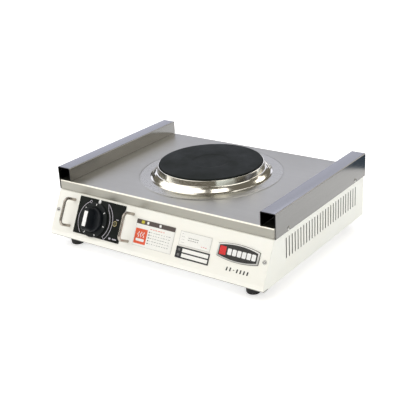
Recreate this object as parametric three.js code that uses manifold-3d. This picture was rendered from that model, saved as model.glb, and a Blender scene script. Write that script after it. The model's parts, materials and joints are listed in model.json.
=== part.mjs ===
// A single electric hot plate burner: a cast-iron plate in a polished ring, on a stainless top with two
// side rails, over an ivory sheet-steel casing with a sloping control panel. Millimetres, +Z up.
// Until the last lines, z = 0 is the table, y = 0 is the face of the top plate's front lip and x = 0 is the middle.
import * as THREE from "three";
import { mergeVertices } from "three/addons/utils/BufferGeometryUtils.js";
import Module from "manifold-3d";

// ---- driving dimensions ----
const width = 440; // over both side rails
const depth = 300; // front lip to rear lip
const bodyHeight = 90; // underside of the casing to the face of the top plate
const footHeight = 20; // table to the underside of the casing
const sheet = 1.2; // casing and top steel
const gap = 0.3; // left between two pieces that touch
const bodyInset = 2; // the casing's sides, inside the rails' outer faces
const lipHeight = 17; // the top plate's front and rear lips, and the rails' side lips
const lipShort = 3; // the front lip stops this far inside the rails' outer faces
const flange = 14; // inward returns of the casing panels
const flangeMargin = 8; // the side panels' flanges stop short of the corners

const railWidth = 27;
const railHeight = 24; // above the top plate
const railScrewDrop = 13; // below the top plate's face
const railScrewInset = 38; // from the front and rear lips

const panelLean = THREE.MathUtils.degToRad(27.8); // the control panel leans back by this
const panelProud = 2.4; // the panel's top edge stands in front of the lip
const skirtHeight = 10; // upright strip below the sloping panel
const skirtOut = 1; // how far the strip runs forward as it drops

const ventPitch = 9;
const ventWidth = 2.8;
const ventHeight = 35;
const ventDrop = 27; // top of the slots, below the top plate's face
const ventMargin = 33; // first slot from the lips

const plateRadius = 90; // cast-iron plate
const plateTop = 22.4; // its face above the top plate
const plateThickness = 18;
const recessRadius = 30;
const recessDepth = 0.8;
const ringClear = 0.6; // between the cast plate and its ring
const ringBandDrop = 2.4; // the ring's upper edge, below the plate's face
const ringShoulder = 10; // height where the band turns into the flare
const ringShoulderOut = 3.2; // how far the band spreads by then
const ringFlareOut = 12.2; // spread of the flare beyond the shoulder
const ringShelf = 6; // width of the shelf that carries the cast plate
const embossOut = 19; // the top plate's raised pad runs this far past the ring
const embossHeight = 1.2;
const panDepth = 22; // heat shield below the top plate
const panSheet = 0.8;
const barSheet = 2; // clamp bar
const barWidth = 20;
const studRadius = 4;

const knobFromLeft = 94; // knob axis, from the left rail's outer face
const knobDown = 37.8; // knob axis, down the panel from its top edge
const knobRadius = 29.5; // skirt
const knobHeight = 26; // grip face above the panel
const knobSkirt = 2.2; // skirt thickness
const knobLift = 3; // skirt's underside above the panel
const hubRadius = 20;
const hubHeight = 11; // hub face above the panel
const gripWidth = 11;
const gripLength = 40;
const pointerWidth = 7.4;
const pointerLength = 26;
const pointerThick = 0.9;
const shaftRadius = 3;

const dialWidth = 102;
const dialHeight = 64;
const dialThick = 1;
const dialDown = 2.3; // top edge of the dial plate, down the panel
const dialKnobOffset = 10; // knob axis to the left of the dial plate's middle
const lampRadius = 4.6;
const lampLens = 3.2;
const lampOffset = 46; // to the right of the knob axis
const lampDown = 35.3;

const guardRadius = 2.5; // round bar
const guardSpan = 46; // leg to leg
const guardStand = 25; // bar axis above the panel
const guardBend = 8;
const guardDown = 12; // upper leg, down the panel
const guardOffsets = [-52.5, 78.5]; // from the knob axis

const labelThick = 0.4;
const cautionSize = [79, 43.4];
const cautionFromKnob = 128.5; // middle of the label
const cautionDown = 17;
const ratingSize = [60.2, 22.3];
const ratingFromKnob = 208.9;
const ratingDown = 19;
const tabSize = [64, 18.2];
const tabDown = 43.6;
const badgeSize = [74.4, 18.2]; // at its ends
const badgeBulge = 4.4; // rise of the top and bottom edges at the middle
const badgeThick = 1.6;
const badgeFromRight = 56.2; // middle of the badge, from the right rail's outer face
const badgeDown = 32.5; // middle of the badge

const footRadius = 12;
const footSole = 10; // radius of the flat that stands on the table
const footBulge = 0.55; // height of its widest part, as a share of the foot's
const footWell = 6; // depth of the screw's well in the sole
const footScrewTail = 4; // of the foot's screw, past the base plate
const footInset = 37; // from the rails' outer faces
const frontFootBack = 28; // from the foot of the panel
const rearFootInset = 32; // from the rear lip
const screwHead = 3.6;
const screwHeadHeight = 1.8;
const screwShank = 1.9;
const screwLength = 8;
const edgeScrewInset = 7; // panel screws, from the casing's sides
const edgeScrewDown = 35;

const inletFromRight = 70; // cable inlet in the rear panel
const inletHeight = 18; // above the underside of the casing
const inletRadius = 7;
const leadRadius = 1.6;

// ---- what follows from them ----
const topZ = footHeight + bodyHeight;
const halfWidth = width / 2;
const bodyHalf = halfWidth - bodyInset;
const bodyRear = depth - bodyInset;
const underTop = topZ - sheet - gap; // highest point of anything under the top plate
const panelTop = new THREE.Vector2(-panelProud, topZ - lipHeight - gap); // y, z of the panel's top edge
const panelLength = (bodyHeight - skirtHeight - lipHeight - gap) / Math.cos(panelLean);
const panelFoot = new THREE.Vector2(
  panelTop.x - panelLength * Math.sin(panelLean),
  footHeight + skirtHeight,
);
const skirtFoot = new THREE.Vector2(panelFoot.x - skirtOut, footHeight);
const basePlateZ = footHeight + sheet + gap; // underside of the base plate
const plateY = depth / 2;
const ringInner = plateRadius + ringClear;
const ringOuter = ringInner + ringShoulderOut + ringFlareOut;
const shelfInner = ringInner - ringShelf;
const plateBottom = plateTop - plateThickness;
const knobX = knobFromLeft - halfWidth;

// ---- materials ----
function finish(color, roughness, metalness) {
  return new THREE.MeshStandardMaterial({ color, roughness, metalness });
}
const stainless = finish(0xa9a9ae, 0.35, 0.9);
const railSteel = finish(0x9aa2b4, 0.35, 0.9);
const chrome = finish(0xd6d2c8, 0.12, 1);
const ivoryPaint = finish(0xf6f5ea, 0.45, 0);
const castIron = finish(0x34383a, 0.7, 0.3);
const zincSteel = finish(0xb9bcbc, 0.4, 0.8);
const blackPlastic = finish(0x14171b, 0.4, 0);
const dialBlack = finish(0x232628, 0.55, 0);
const whitePlastic = finish(0xf4f4f2, 0.4, 0);
const rubber = finish(0x161616, 0.85, 0);
const ceramic = finish(0xe3dccb, 0.8, 0);
const labelFilm = finish(0xf3f1e8, 0.5, 0);
const tabFilm = finish(0x2f3136, 0.5, 0);
const badgeMetal = finish(0x55585a, 0.3, 0.7);
const lampGlass = finish(0x9a7a2c, 0.2, 0);
const resistanceWire = finish(0x6b5a50, 0.6, 0.6);
const phenolic = finish(0x3a2a22, 0.6, 0);
const leadSleeve = finish(0xd8d2c4, 0.7, 0);

// ---- booleans ----
const wasm = await Module();
wasm.setup();

function solidOf(geometry) {
  const bare = geometry.clone();
  bare.deleteAttribute("normal");
  bare.deleteAttribute("uv");
  const merged = mergeVertices(bare, 1e-4);
  return new wasm.Manifold(
    new wasm.Mesh({
      numProp: 3,
      vertProperties: new Float32Array(merged.attributes.position.array),
      triVerts: new Uint32Array(merged.index.array),
    }),
  );
}

function geometryOf(solid) {
  const mesh = solid.getMesh();
  const geometry = new THREE.BufferGeometry();
  geometry.setAttribute("position", new THREE.BufferAttribute(mesh.vertProperties, 3));
  geometry.setIndex(new THREE.BufferAttribute(mesh.triVerts, 1));
  geometry.computeVertexNormals();
  return geometry;
}

function joined(...geometries) {
  return geometryOf(geometries.map(solidOf).reduce((whole, next) => whole.add(next)));
}

function cut(geometry, tools) {
  return geometryOf(tools.map(solidOf).reduce((whole, tool) => whole.subtract(tool), solidOf(geometry)));
}

// ---- shapes ----
function outline(points) {
  return new THREE.Shape(points.map(([a, b]) => new THREE.Vector2(a, b)));
}

function rectangle(a0, a1, b0, b1) {
  return outline([[a0, b0], [a1, b0], [a1, b1], [a0, b1]]);
}

// Points of an open line moved sideways, to its left, with mitred corners.
function shifted(points, distance) {
  const normals = points.slice(1).map((point, i) => {
    const run = new THREE.Vector2(point[0] - points[i][0], point[1] - points[i][1]).normalize();
    return new THREE.Vector2(-run.y, run.x);
  });
  return points.map(([a, b], i) => {
    const before = normals[Math.max(i - 1, 0)];
    const after = normals[Math.min(i, normals.length - 1)];
    const reach = distance / (1 + before.dot(after));
    return [a + (before.x + after.x) * reach, b + (before.y + after.y) * reach];
  });
}

// The section of a bent sheet: the line of one face, with its thickness to the left of it.
function sheetSection(points, thickness) {
  return outline([...points, ...shifted(points, thickness).reverse()]);
}

// A section drawn in Y and Z, run along X.
function alongX(shape, x0, x1, curveSegments = 8) {
  const geometry = new THREE.ExtrudeGeometry(shape, { depth: x1 - x0, bevelEnabled: false, curveSegments });
  geometry.translate(0, 0, x0);
  const turn = new THREE.Matrix4().makeBasis(
    new THREE.Vector3(0, 1, 0),
    new THREE.Vector3(0, 0, 1),
    new THREE.Vector3(1, 0, 0),
  );
  return geometry.applyMatrix4(turn);
}

// A section drawn in X and Z, run along Y.
function alongY(shape, y0, y1) {
  const geometry = new THREE.ExtrudeGeometry(shape, { depth: y1 - y0, bevelEnabled: false, curveSegments: 8 });
  geometry.translate(0, 0, -y1);
  return geometry.rotateX(Math.PI / 2);
}

// A section drawn in X and Y, run along Z.
function alongZ(shape, z0, z1, curveSegments = 8) {
  const geometry = new THREE.ExtrudeGeometry(shape, { depth: z1 - z0, bevelEnabled: false, curveSegments });
  return geometry.translate(0, 0, z0);
}

// A turned piece about Z: the profile is a list of radius and height, anticlockwise seen with Z up.
function turned(profile, segments) {
  const closed = profile[0][0] === 0 ? profile : [...profile, profile[0]];
  const points = closed.map(([radius, height]) => new THREE.Vector2(radius, height));
  return new THREE.LatheGeometry(points, segments).rotateX(Math.PI / 2);
}

function rod(radius, z0, z1, segments = 12) {
  return turned([[0, z0], [radius, z0], [radius, z1], [0, z1]], segments);
}

function tubeRing(inner, outer, z0, z1, segments = 16) {
  return turned([[inner, z0], [outer, z0], [outer, z1], [inner, z1]], segments);
}

// A straight slot with round ends, long way along the drawing's second axis.
function slotPath(shape, a, b0, b1, slotWidth) {
  const radius = slotWidth / 2;
  shape.moveTo(a + radius, b0 + radius);
  shape.lineTo(a + radius, b1 - radius);
  shape.absarc(a, b1 - radius, radius, 0, Math.PI, false);
  shape.lineTo(a - radius, b0 + radius);
  shape.absarc(a, b0 + radius, radius, Math.PI, 2 * Math.PI, false);
  return shape;
}

function screw() {
  return turned(
    [
      [0, -screwLength],
      [screwShank, -screwLength],
      [screwShank, gap],
      [screwHead, gap],
      [screwHead, gap + screwHeadHeight * 0.4],
      [screwHead * 0.6, gap + screwHeadHeight],
      [0, gap + screwHeadHeight],
    ],
    10,
  );
}

function nut(cornerRadius, hole, thickness) {
  return cut(rod(cornerRadius, 0, thickness, 6), [rod(hole, -1, thickness + 1)]);
}

// ---- the assembly ----
const unit = new THREE.Group();
const panel = new THREE.Group(); // local X along the panel, Y up it, Z out of it
panel.position.set(0, panelTop.x, panelTop.y);
panel.rotation.x = Math.PI / 2 - panelLean;
unit.add(panel);

function add(name, geometry, material, parent = unit) {
  const mesh = new THREE.Mesh(geometry, material);
  mesh.name = name;
  parent.add(mesh);
  return mesh;
}

// A tool or piece made in the panel's frame, brought into the casing's.
function fromPanel(geometry) {
  panel.updateMatrix();
  return geometry.clone().applyMatrix4(panel.matrix);
}

// ---- top plate and rails ----
const embossRadius = ringOuter + embossOut;
const topHole = shelfInner - 2;

function topPlate() {
  const half = halfWidth - sheet - gap;
  const section = sheetSection(
    [
      [0, topZ - lipHeight],
      [0, topZ],
      [depth, topZ],
      [depth, topZ - lipHeight],
    ].reverse(),
    sheet,
  );
  const pad = tubeRing(ringOuter - 6, embossRadius, -sheet / 2, embossHeight, 48);
  pad.translate(0, plateY, topZ);
  const hole = rod(topHole, -2 * sheet, 2 * sheet, 48).translate(0, plateY, topZ);
  return cut(joined(alongX(section, -half, half), pad), [hole, ...lipCorners(half)]);
}

// The ends of the front lip, which stop short of the rails.
function lipCorners(half) {
  return [-1, 1].map((side) => {
    const x = [side * (halfWidth - lipShort), side * (half + 1)].sort((a, b) => a - b);
    return alongZ(rectangle(x[0], x[1], -1, sheet + gap), topZ - lipHeight - 1, topZ - sheet);
  });
}

function rightRail() {
  const inner = halfWidth - railWidth;
  const section = sheetSection(
    [
      [halfWidth, topZ - lipHeight],
      [halfWidth, topZ + railHeight],
      [inner, topZ + railHeight],
      [inner, topZ + gap],
    ],
    sheet,
  );
  return cut(alongY(section, 0, depth), railScrewHoles(1));
}

function railScrewPlaces() {
  return [
    ["front", railScrewInset],
    ["rear", depth - railScrewInset],
  ];
}

function railScrewHoles(side) {
  return railScrewPlaces().map(([, y]) =>
    rod(screwShank + gap, -screwLength, screwLength)
      .rotateY(Math.PI / 2)
      .translate(side * halfWidth, y, topZ - railScrewDrop),
  );
}

function mirrored(geometry) {
  const copy = geometry.clone();
  copy.scale(-1, 1, 1);
  for (let i = 0; i < copy.index.count; i += 3) {
    const first = copy.index.getX(i);
    copy.index.setX(i, copy.index.getX(i + 1));
    copy.index.setX(i + 1, first);
  }
  copy.computeVertexNormals();
  return copy;
}

add("top_plate", topPlate(), stainless);
const rail = rightRail();
add("right_rail", rail, railSteel);
add("left_rail", mirrored(rail), railSteel);

for (const [sideName, side] of [["left", -1], ["right", 1]])
  for (const [place, y] of railScrewPlaces()) {
    const piece = add(`${sideName}_rail_screw_${place}`, screw(), zincSteel);
    piece.rotation.y = (side * Math.PI) / 2;
    piece.position.set(side * halfWidth, y, topZ - railScrewDrop);
  }

// ---- casing ----
// The outer line of the front panel: flange behind the lip, ledge under it, slope, skirt and return.
const frontLine = [
  [sheet + gap, underTop],
  [sheet + gap, panelTop.y],
  [panelTop.x, panelTop.y],
  [panelFoot.x, panelFoot.y],
  [skirtFoot.x, skirtFoot.y],
  [skirtFoot.x + flange, skirtFoot.y],
];
const edgeScrewX = bodyHalf - edgeScrewInset;
const guardLegs = [-guardDown, -guardDown - guardSpan];
const guardX = guardOffsets.map((offset) => knobX + offset);
const regulatorScrewReach = 15;

function frontPanel() {
  const holes = [];
  const hole = (x, y, radius) => holes.push(fromPanel(rod(radius, -4 * sheet, 4 * sheet).translate(x, y, 0)));
  for (const side of [-1, 1]) hole(side * edgeScrewX, -edgeScrewDown, screwShank + gap);
  for (const x of guardX) for (const y of guardLegs) hole(x, y, guardRadius + gap);
  hole(knobX, -knobDown, bushRadius + gap);
  for (const side of [-1, 1]) hole(knobX, -knobDown + side * regulatorScrewReach, screwShank + gap);
  hole(knobX + lampOffset, -lampDown, lampLens + gap);
  return cut(alongX(sheetSection(frontLine, sheet), -bodyHalf, bodyHalf), holes);
}

const inside = shifted(frontLine, sheet + gap); // what stands behind the front panel
const rearFace = bodyRear - sheet - gap; // what stands in front of the rear panel

function ventPlaces() {
  const count = Math.floor((depth - 2 * ventMargin) / ventPitch) + 1;
  const first = (depth - (count - 1) * ventPitch) / 2;
  return Array.from({ length: count }, (unused, i) => first + i * ventPitch);
}

function rightSidePanel() {
  const bottomStep = skirtFoot.x + flange + gap;
  const side = outline([
    inside[0],
    inside[1],
    inside[2],
    inside[3],
    [inside[4][0], basePlateZ],
    [bottomStep, basePlateZ],
    [bottomStep, footHeight],
    [rearFace, footHeight],
    [rearFace, underTop],
  ]);
  for (const y of ventPlaces())
    side.holes.push(slotPath(new THREE.Path(), y, topZ - ventDrop - ventHeight, topZ - ventDrop, ventWidth));
  const wall = alongX(side, bodyHalf - sheet, bodyHalf, 2);
  const inward = bodyHalf - flange;
  const slope = new THREE.Vector2(inside[3][0] - inside[2][0], inside[3][1] - inside[2][1]).normalize();
  const frontFlange = sheetSection(
    [
      [inside[2][0] + slope.x * flangeMargin, inside[2][1] + slope.y * flangeMargin],
      [inside[3][0] - slope.x * flangeMargin, inside[3][1] - slope.y * flangeMargin],
    ],
    sheet,
  );
  const rearFlange = rectangle(rearFace - sheet, rearFace, footHeight + flangeMargin, underTop - flangeMargin);
  const bottomFlange = rectangle(bottomStep, rearFace - flange, footHeight, footHeight + sheet);
  return cut(
    joined(
      wall,
      alongX(frontFlange, inward, bodyHalf),
      alongX(rearFlange, inward, bodyHalf),
      alongX(bottomFlange, inward, bodyHalf),
    ),
    [
      fromPanel(rod(screwShank + gap, -screwLength, screwLength).translate(edgeScrewX, -edgeScrewDown, 0)),
      rod(screwShank + gap, -screwLength, screwLength)
        .rotateX(Math.PI / 2)
        .translate(edgeScrewX, bodyRear, rearScrewZ),
      ...railScrewHoles(1),
    ],
  );
}

const bushRadius = 5; // the regulator's threaded neck
const rearScrewZ = topZ - lipHeight - edgeScrewDown;
const inletX = halfWidth - inletFromRight;
const inletZ = footHeight + inletHeight;
const earthX = inletX - 30;

function rearPanel() {
  const back = alongY(rectangle(-bodyHalf, bodyHalf, footHeight, underTop), bodyRear - sheet, bodyRear);
  const tools = [];
  const hole = (x, z, radius) =>
    tools.push(rod(radius, -2 * sheet, 2 * sheet).rotateX(Math.PI / 2).translate(x, bodyRear, z));
  for (const side of [-1, 1]) hole(side * edgeScrewX, rearScrewZ, screwShank + gap);
  hole(inletX, inletZ, inletRadius + gap);
  hole(earthX, inletZ, screwShank + gap);
  return cut(back, tools);
}

const baseHalf = bodyHalf - sheet - gap;
const baseFront = inside[4][0] + gap;
const footX = halfWidth - footInset;
const footRows = [
  ["front", skirtFoot.x + frontFootBack],
  ["rear", depth - rearFootInset],
];

function basePlate() {
  const plate = rectangle(-baseHalf, baseHalf, baseFront, rearFace - sheet - gap);
  const slotRows = [plateY - 60, plateY + 25];
  const slotLength = 36;
  for (let i = -4; i <= 4; i++)
    for (const y of slotRows) plate.holes.push(slotPath(new THREE.Path(), i * 16, y, y + slotLength, 5));
  const solid = alongZ(plate, basePlateZ, basePlateZ + sheet, 2);
  const tools = [];
  for (const side of [-1, 1])
    for (const [, y] of footRows)
      tools.push(rod(screwShank + gap, -2 * sheet, 2 * sheet).translate(side * footX, y, basePlateZ));
  return cut(solid, tools);
}

add("front_panel", frontPanel(), ivoryPaint);
const sideWall = rightSidePanel();
add("right_side_panel", sideWall, ivoryPaint);
add("left_side_panel", mirrored(sideWall), ivoryPaint);
add("rear_panel", rearPanel(), ivoryPaint);
add("base_plate", basePlate(), zincSteel);

for (const [sideName, side] of [["left", -1], ["right", 1]]) {
  const front = add(`front_screw_${sideName}`, screw(), zincSteel, panel);
  front.position.set(side * edgeScrewX, -edgeScrewDown, 0);
  const rear = add(`rear_screw_${sideName}`, screw(), zincSteel);
  rear.rotation.x = -Math.PI / 2;
  rear.position.set(side * edgeScrewX, bodyRear, rearScrewZ);
}

// ---- feet ----
function foot() {
  const top = basePlateZ - gap;
  const wellRadius = screwHead + 1;
  return turned(
    [
      [wellRadius, 0],
      [footSole, 0],
      [footRadius, footHeight * footBulge],
      [footRadius, top],
      [screwShank + gap, top],
      [screwShank + gap, footWell],
      [wellRadius, footWell],
    ],
    20,
  );
}

function footScrew() {
  const underHead = footWell - gap;
  const tip = basePlateZ + sheet + footScrewTail;
  return turned(
    [
      [0, underHead - screwHeadHeight],
      [screwHead, underHead - screwHeadHeight],
      [screwHead, underHead],
      [screwShank, underHead],
      [screwShank, tip],
      [0, tip],
    ],
    12,
  );
}

for (const [sideName, side] of [["left", -1], ["right", 1]])
  for (const [row, y] of footRows) {
    add(`${row}_foot_${sideName}`, foot(), rubber).position.set(side * footX, y, 0);
    add(`${row}_foot_screw_${sideName}`, footScrew(), zincSteel).position.set(side * footX, y, 0);
  }

// ---- hot plate, ring and what holds them ----
const heater = new THREE.Group(); // on the plate's axis, z = 0 at the top plate's face
heater.position.set(0, plateY, topZ);
unit.add(heater);

const cavityInner = recessRadius;
const cavityOuter = plateRadius - 10;
const cavityTop = plateBottom + 5.5;
const studTop = plateBottom + 7.5;
const coilRadius = (cavityInner + cavityOuter) / 2;
const wireRadius = 2.4;

function castPlate() {
  const edge = 1.4; // chamfer round the face
  return turned(
    [
      [0, studTop + gap],
      [studRadius + gap, studTop + gap],
      [studRadius + gap, plateBottom],
      [cavityInner, plateBottom],
      [cavityInner, cavityTop],
      [cavityOuter, cavityTop],
      [cavityOuter, plateBottom],
      [plateRadius, plateBottom],
      [plateRadius, plateTop - edge],
      [plateRadius - edge, plateTop],
      [recessRadius, plateTop],
      [recessRadius - 1, plateTop - recessDepth],
      [0, plateTop - recessDepth],
    ],
    48,
  );
}

function spillRing() {
  const wall = 0.8;
  const bandTop = plateTop - ringBandDrop;
  const shoulder = ringInner + ringShoulderOut;
  const shelfZ = plateBottom - gap - wall;
  return turned(
    [
      [shelfInner, shelfZ],
      [ringInner + 1, shelfZ],
      [shoulder - 1, ringShoulder - 1.6],
      [shoulder + 0.4, ringShoulder - 1.8],
      [ringOuter - 1.4, embossHeight + gap],
      [ringOuter, embossHeight + gap],
      [ringOuter, embossHeight + gap + wall / 2],
      [shoulder + 1.4, ringShoulder - 0.6],
      [shoulder, ringShoulder],
      [ringInner + wall, bandTop],
      [ringInner, bandTop],
      [ringInner, plateBottom - gap],
      [shelfInner, plateBottom - gap],
    ],
    48,
  );
}

function elementRing() {
  return turned(
    [
      [cavityInner + gap, plateBottom + 0.4],
      [coilRadius - wireRadius - 2 * gap, plateBottom + 0.4],
      [coilRadius - wireRadius - 2 * gap, cavityTop - 0.6],
      [coilRadius + wireRadius + 2 * gap, cavityTop - 0.6],
      [coilRadius + wireRadius + 2 * gap, plateBottom + 0.4],
      [cavityOuter - gap, plateBottom + 0.4],
      [cavityOuter - gap, cavityTop - gap],
      [cavityInner + gap, cavityTop - gap],
    ],
    24,
  );
}

function resistanceCoil() {
  const sides = 6;
  const profile = Array.from({ length: sides }, (unused, i) => {
    const angle = (i / sides) * 2 * Math.PI;
    return [coilRadius + wireRadius * Math.cos(angle), wireRadius * 0.85 * Math.sin(angle)];
  });
  return turned(profile, 24).translate(0, 0, (plateBottom + cavityTop) / 2 - 0.25);
}

const coverThick = 1;
const coverTop = plateBottom - gap;
const blockOffset = (cavityInner + coilRadius) / 2; // plate's terminal block, in front of the axis
const panFloor = -panDepth;
const panRim = topHole + 12;

function elementCover() {
  return tubeRing(studRadius + gap, shelfInner - gap - 1, coverTop - coverThick, coverTop, 24);
}

function heatShield() {
  const wall = panRim - 14;
  const pan = turned(
    [
      [studRadius + gap, panFloor - panSheet],
      [wall, panFloor - panSheet],
      [wall, -sheet - gap - panSheet],
      [panRim, -sheet - gap - panSheet],
      [panRim, -sheet - gap],
      [wall - panSheet, -sheet - gap],
      [wall - panSheet, panFloor],
      [studRadius + gap, panFloor],
    ],
    24,
  );
  return cut(pan, [rod(8, panFloor - 3, panFloor + 3).translate(0, -blockOffset, 0)]);
}

function clampBar() {
  const reach = panRim + 2;
  const drop = panFloor - panSheet - gap;
  const line = [
    [-reach - 8, -sheet - gap],
    [-reach, -sheet - gap],
    [-reach, drop],
    [reach, drop],
    [reach, -sheet - gap],
    [reach + 8, -sheet - gap],
  ];
  const section = sheetSection(line.reverse(), barSheet);
  const bar = alongY(section, -barWidth / 2, barWidth / 2);
  return cut(bar, [rod(studRadius + gap, drop - 4, drop + 4)]);
}

const barUnder = panFloor - panSheet - gap - barSheet;

add("hotplate", castPlate(), castIron, heater);
add("spill_ring", spillRing(), chrome, heater);
add("element_ring", elementRing(), ceramic, heater);
add("resistance_coil", resistanceCoil(), resistanceWire, heater);
add("element_cover", elementCover(), zincSteel, heater);
add("heat_shield", heatShield(), zincSteel, heater);
add("clamp_bar", clampBar(), zincSteel, heater);
add("centre_stud", rod(studRadius, barUnder - 14, studTop, 12), zincSteel, heater);
const clampNut = add("clamp_nut", nut(7.5, studRadius + gap, 6), zincSteel, heater);
clampNut.position.z = barUnder - gap - 6;

const blockTop = coverTop - coverThick - gap;
const blockSize = [30, 16, 10];

function plateTerminals() {
  const [long, wide, high] = blockSize;
  return alongZ(rectangle(-long / 2, long / 2, -wide / 2, wide / 2), blockTop - high, blockTop);
}
add("plate_terminal_block", plateTerminals(), ceramic, heater).position.y = -blockOffset;

// ---- knob, shaft and energy regulator ----
const control = new THREE.Group(); // on the knob's axis, z = 0 at the panel's face
control.position.set(knobX, -knobDown, 0);
panel.add(control);

const regulatorTop = -sheet - gap;
const regulatorSize = [42, 40, 26];
const shaftTop = knobHeight - 8;
const shaftBottom = regulatorTop - 12;

function stadium(length, thickness) {
  const radius = thickness / 2;
  const shape = new THREE.Shape();
  return slotPath(shape, 0, -length / 2, length / 2, 2 * radius);
}

function knob() {
  const skirtTop = knobLift + knobSkirt;
  const body = turned(
    [
      [0, knobLift],
      [knobRadius, knobLift],
      [knobRadius, skirtTop - 0.6],
      [knobRadius - 0.8, skirtTop],
      [hubRadius + 1.5, skirtTop],
      [hubRadius, hubHeight],
      [0, hubHeight],
    ],
    40,
  );
  const grip = alongZ(stadium(gripLength, gripWidth), hubHeight - 2, knobHeight, 6);
  const pocket = alongZ(
    rectangle(-pointerWidth / 2 - gap, pointerWidth / 2 + gap, -pointerLength / 2 - gap, pointerLength / 2 + gap),
    knobHeight - pointerThick,
    knobHeight + 1,
  );
  return cut(joined(body, grip), [rod(shaftRadius + gap, 0, shaftTop + gap), pocket]);
}

function knobPointer() {
  return alongZ(
    rectangle(-pointerWidth / 2, pointerWidth / 2, -pointerLength / 2, pointerLength / 2),
    knobHeight - pointerThick + gap,
    knobHeight + gap,
  );
}

function regulatorBody() {
  const [wide, high, deep] = regulatorSize;
  const box = alongZ(rectangle(-wide / 2, wide / 2, -high / 2, high / 2), regulatorTop - deep, regulatorTop);
  const bush = rod(bushRadius, regulatorTop - 2, dialThick, 16);
  return cut(joined(box, bush), [
    rod(shaftRadius + gap, shaftBottom - gap, 20),
    ...[-1, 1].map((side) =>
      rod(screwShank + gap, -screwLength - 1, 0).translate(0, side * regulatorScrewReach, 0),
    ),
  ]);
}

add("control_knob", knob(), blackPlastic, control);
add("knob_pointer", knobPointer(), whitePlastic, control);
add("regulator_shaft", rod(shaftRadius, shaftBottom, shaftTop, 16), zincSteel, control);
add("regulator_body", regulatorBody(), phenolic, control);
for (const [place, side] of [["upper", 1], ["lower", -1]]) {
  const piece = add(`regulator_screw_${place}`, screw(), zincSteel, control);
  piece.position.y = side * regulatorScrewReach;
}

// ---- dial plate and pilot lamp ----
const dialCentreX = knobX + dialKnobOffset;
const lampX = knobX + lampOffset;

function dialPlate() {
  const plate = alongZ(
    rectangle(
      dialCentreX - dialWidth / 2,
      dialCentreX + dialWidth / 2,
      -dialDown - dialHeight,
      -dialDown,
    ),
    gap,
    gap + dialThick,
  );
  return cut(plate, [
    rod(bushRadius + gap, -4, 4).translate(knobX, -knobDown, 0),
    rod(lampLens + gap, -4, 4).translate(lampX, -lampDown, 0),
    ...[-1, 1].map((side) =>
      rod(screwHead + gap, -4, 4).translate(knobX, -knobDown + side * regulatorScrewReach, 0),
    ),
  ]);
}
add("dial_plate", dialPlate(), dialBlack, panel);

const bezelFoot = 2 * gap + dialThick;
const bezel = add("lamp_bezel", tubeRing(lampLens + gap, lampRadius, bezelFoot, bezelFoot + 1.6, 20), chrome, panel);
bezel.position.set(lampX, -lampDown, 0);
const lens = turned(
  [
    [0, -sheet - 8],
    [lampLens, -sheet - 8],
    [lampLens, bezelFoot + 1.2],
    [lampLens * 0.6, bezelFoot + 2.4],
    [0, bezelFoot + 2.8],
  ],
  16,
);
add("lamp_lens", lens, lampGlass, panel).position.set(lampX, -lampDown, 0);
const holder = tubeRing(lampLens + gap, lampRadius, -sheet - gap - 10, -sheet - gap, 16);
add("lamp_holder", holder, whitePlastic, panel).position.set(lampX, -lampDown, 0);

// ---- knob guards ----
function guard() {
  const reach = guardStand - guardBend;
  const low = -guardSpan;
  const start = -sheet - 7;
  const path = new THREE.CurvePath();
  const at = (y, z) => new THREE.Vector3(0, y, z);
  path.add(new THREE.LineCurve3(at(0, start), at(0, reach)));
  path.add(new THREE.QuadraticBezierCurve3(at(0, reach), at(0, guardStand), at(-guardBend, guardStand)));
  path.add(new THREE.LineCurve3(at(-guardBend, guardStand), at(low + guardBend, guardStand)));
  path.add(new THREE.QuadraticBezierCurve3(at(low + guardBend, guardStand), at(low, guardStand), at(low, reach)));
  path.add(new THREE.LineCurve3(at(low, reach), at(low, start)));
  const section = new THREE.Shape();
  section.absarc(0, 0, guardRadius, 0, 2 * Math.PI);
  return new THREE.ExtrudeGeometry(section, { steps: 26, extrudePath: path, curveSegments: 4 });
}

guardX.forEach((x, i) => {
  const name = ["left", "right"][i];
  add(`${name}_guard`, guard(), chrome, panel).position.set(x, guardLegs[0], 0);
  guardLegs.forEach((y, leg) => {
    const fixing = add(`${name}_guard_nut_${["upper", "lower"][leg]}`, nut(5.5, guardRadius + gap, 4), zincSteel, panel);
    fixing.position.set(x, y, -sheet - gap - 4);
  });
});

// ---- labels and badge ----
function plateOnPanel(name, middle, down, [long, high], material) {
  const plate = alongZ(rectangle(-long / 2, long / 2, -high, 0), gap, gap + labelThick);
  add(name, plate, material, panel).position.set(middle, -down, 0);
}
plateOnPanel("caution_label", knobX + cautionFromKnob, cautionDown, cautionSize, labelFilm);
plateOnPanel("rating_plate", knobX + ratingFromKnob, ratingDown, ratingSize, labelFilm);
plateOnPanel("spec_tab", knobX + ratingFromKnob, tabDown, tabSize, tabFilm);

function badge() {
  const [long, high] = badgeSize;
  const shape = new THREE.Shape();
  shape.moveTo(-long / 2, -high / 2);
  shape.quadraticCurveTo(0, -high / 2 - 2 * badgeBulge, long / 2, -high / 2);
  shape.lineTo(long / 2, high / 2);
  shape.quadraticCurveTo(0, high / 2 + 2 * badgeBulge, -long / 2, high / 2);
  return alongZ(shape, gap, gap + badgeThick);
}
add("badge", badge(), badgeMetal, panel).position.set(halfWidth - badgeFromRight, -badgeDown, 0);

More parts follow.
